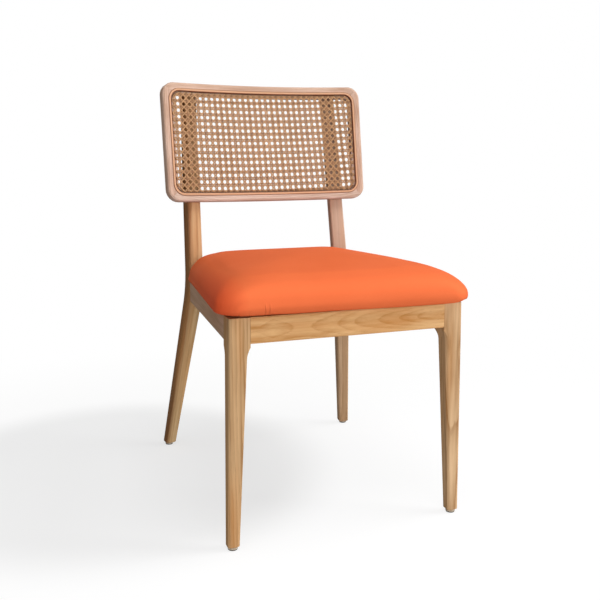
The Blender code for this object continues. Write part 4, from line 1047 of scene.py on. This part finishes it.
for j in range(len(depths) - 1):
    for i in range(len(spread) - 1):
        if depths[j] < 0 and max(abs(spread[i]), abs(spread[i + 1])) > outer + EDGE_SLACK:
            continue
        sheet.faces.new((grid[j][i], grid[j][i + 1], grid[j + 1][i + 1], grid[j + 1][i]))
bmesh.ops.delete(sheet, geom=[v for v in sheet.verts if not v.link_faces], context="VERTS")
bmesh.ops.transform(sheet, matrix=seat_matrix, verts=sheet.verts)
for name in [n for n in nodes if n.startswith("seat_screw_")]:
    low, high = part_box(name)
    screw = Vector(((low[0] + high[0]) / 2, (low[1] + high[1]) / 2))
    hole = min(sheet.faces, key=lambda face: (face.calc_center_median().xy - screw).length)
    for vert in hole.verts:
        out = vert.co.xy - screw
        vert.co.x, vert.co.y = screw + out.normalized() * SCREW_HOLE_RADIUS
    bmesh.ops.delete(sheet, geom=[hole], context="FACES_ONLY")
sheet_area = sum(face.calc_area() for face in sheet.faces)
dust_sheet = add_object("dust_sheet", sheet, LINING)
shade_smooth(dust_sheet)


# Staples round the dust cover's edge

WIRE = 0.00045
STAPLE_PATH = (
    (-0.0050, 0.0008), (-0.0050, 0.0), (-0.0044, -0.0002), (0.0044, -0.0002), (0.0050, 0.0), (0.0050, 0.0008),
)
STAPLE_DEPTH, STAPLE_INSET = 0.00035, 0.006
STAPLE_SKEW, SIDE_TURN = 8, 4
SIDE_STAPLES, SIDE_START, SIDE_GAP = 6, 0.085, 0.046
END_STAPLES, END_START, END_GAP = 5, -0.088, 0.044
wires = bmesh.new()


def add_staple(x, y, turn):
    """Wire staple with its crown against the sheet and its ends turned up into the board."""
    spin = Matrix.Rotation(turn, 4, "Z")
    matrix = seat_matrix @ Matrix.Translation((x, y, SHEET_HEIGHT - STAPLE_DEPTH)) @ spin
    spots = ((-WIRE, 0.0), (0.0, WIRE / 2), (WIRE, 0.0), (0.0, -WIRE / 2))
    rings = []
    for along, rise in STAPLE_PATH:
        places = [matrix @ Vector((along, across, rise + lift)) for across, lift in spots]
        rings.append([wires.verts.new(place) for place in places])
    bridge(wires, rings)


for side in (-1, 1):
    for i in range(SIDE_STAPLES):
        y = SIDE_START + i * SIDE_GAP
        turn = math.radians(90 + side * SIDE_TURN + chance.uniform(-STAPLE_SKEW, STAPLE_SKEW))
        add_staple(side * (sheet_half(y) - STAPLE_INSET), y, turn)
for y in (SHEET_FRONT + STAPLE_INSET, SHEET_REAR - STAPLE_INSET):
    for i in range(END_STAPLES):
        turn = math.radians(chance.uniform(-STAPLE_SKEW, STAPLE_SKEW))
        add_staple(END_START + i * END_GAP, y, turn)
bmesh.ops.recalc_face_normals(wires, faces=wires.faces)
staples = add_object("dust_sheet_staples", wires, STEEL)
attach(dust_sheet, "root")
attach(staples, "root")
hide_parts("dust_cover")


# Felt discs under the glides

FELT_POINTS = 40
FELT_PROFILE = ((0.55, 0.0), (0.86, 0.02), (0.97, 0.16), (1.0, 0.45), (0.98, 0.80), (0.90, 0.98))
FELT_WEAR, WORN_FROM = 0.025, 0.8


def felt_disc(name):
    """Disc with soft worn edges and an uneven face, where the CAD has a plain one."""
    low, high = (Vector(corner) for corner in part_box(name))
    centre, radius, height = (low + high) / 2, (high.x - low.x) / 2, high.z - low.z
    shape = bmesh.new()
    rings = []
    for share, rise in FELT_PROFILE:
        ring = []
        for i in range(FELT_POINTS):
            turn = math.tau * i / FELT_POINTS
            out = radius * share * (1 - FELT_WEAR * chance.random() * (share > WORN_FROM))
            spot = (centre.x + out * math.cos(turn), centre.y + out * math.sin(turn), low.z + height * rise)
            ring.append(shape.verts.new(spot))
        rings.append(ring)
    bridge(shape, rings)
    bmesh.ops.recalc_face_normals(shape, faces=shape.faces)
    disc = add_object(f"{name}_disc", shape, FELT)
    for polygon in disc.data.polygons:
        polygon.use_smooth = len(polygon.vertices) == 4
    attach(disc, "root")
    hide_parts(name)


for name in [n for n in nodes if n.startswith("felt_pad_")]:
    felt_disc(name)


# Light: a soft key high on the right, others from above, the side and the front, and a dim even world

LIGHT_TARGET = Vector((0.0, 0.0, 0.45))
LIGHTS = (
    ("key", (2.0, -0.7, 2.5), (1.5, 1.5), 37.0),
    ("top", (-0.15, -0.7, 2.9), (1.7, 1.7), 36.0),
    ("side", (2.4, -1.0, 0.9), (1.1, 1.1), 29.5),
    ("front", (-0.4, -2.9, 0.70), (1.6, 1.0), 35.0),
)
WORLD_LIGHT = 0.15

for name, place, size, power in LIGHTS:
    data = bpy.data.lights.new(name, "AREA")
    data.shape = "RECTANGLE"
    data.size, data.size_y = size
    data.energy = power
    light = bpy.data.objects.new(name, data)
    scene.collection.objects.link(light)
    light.location = place
    light.rotation_euler = (LIGHT_TARGET - Vector(place)).to_track_quat("-Z", "Y").to_euler()

world = bpy.data.worlds.new("studio")
scene.world = world
make = Nodes(world, "OutputWorld")
strength = make.span(make.seen(), 0.0, 1.0, WORLD_LIGHT, 1.0)
make.show(make.add("Background", {0: WHITE, 1: strength}))


# Floor: white to the camera, with the chair's shadow over a painted shadow in a round patch, and faint beside
# it

# The round patch glows less than the floor beyond it, so it is a painted shadow, grey even where no shade
# falls, with the real shadows over it
PATCH_SHADE, PATCH_GLOW = 0.30, 0.642
PATCH_CENTRE, PATCH_START, PATCH_END = (-0.355, 0.17, 0.0), 0.345, 0.51
OUTER_SHADE, OUTER_GLOW, OUTER_WHITE = 0.46, 0.570, 0.64
FADE_CENTRE, FADE_START, FADE_END = (-0.15, -0.05, 0.0), 0.50, 1.35
FLOOR_SIZE = 12.0

# What the floor throws back onto the chair
BOUNCE_LOW, BOUNCE_HIGH = 0.49, 0.51


def shadowed(make, shade, glow):
    """Floor that shows shadows lightly over a glow of its own."""
    near = make.add("BsdfDiffuse", {"Color": (shade, shade, shade, 1.0)})
    own = make.add("Emission", {"Color": WHITE, "Strength": glow})
    return make.add("AddShader", {0: near.outputs[0], 1: own.outputs[0]}).outputs[0]


make = material_nodes("pale_floor")
place = make.place()
# Where the painted shadow patch ends
painted_shadow_edge = make.span(make.distance(place, PATCH_CENTRE), PATCH_START, PATCH_END, curve="SMOOTHSTEP")
fade = make.span(
    make.distance(place, FADE_CENTRE), FADE_START, FADE_END, OUTER_WHITE, 1.0, curve="SMOOTHSTEP")
mottle = make.span(make.noise(place, 3.0), 0.0, 1.0, BOUNCE_LOW, BOUNCE_HIGH)
bounce = make.add("BsdfDiffuse", {"Color": mottle})
patch = shadowed(make, PATCH_SHADE, PATCH_GLOW)
outer = shadowed(make, OUTER_SHADE, OUTER_GLOW)
white = make.add("Emission", {"Color": WHITE, "Strength": 1.0})
outer = make.add("MixShader", {0: fade, 1: outer, 2: white.outputs[0]})
shown = make.add("MixShader", {0: painted_shadow_edge, 1: patch, 2: outer.outputs[0]})
make.show(make.add("MixShader", {0: make.seen(), 1: bounce.outputs[0], 2: shown.outputs[0]}))
ground = bmesh.new()
bmesh.ops.create_grid(ground, x_segments=8, y_segments=8, size=FLOOR_SIZE)
floor = add_object("floor", ground, make.owner)

scene.view_settings.view_transform = "Standard"
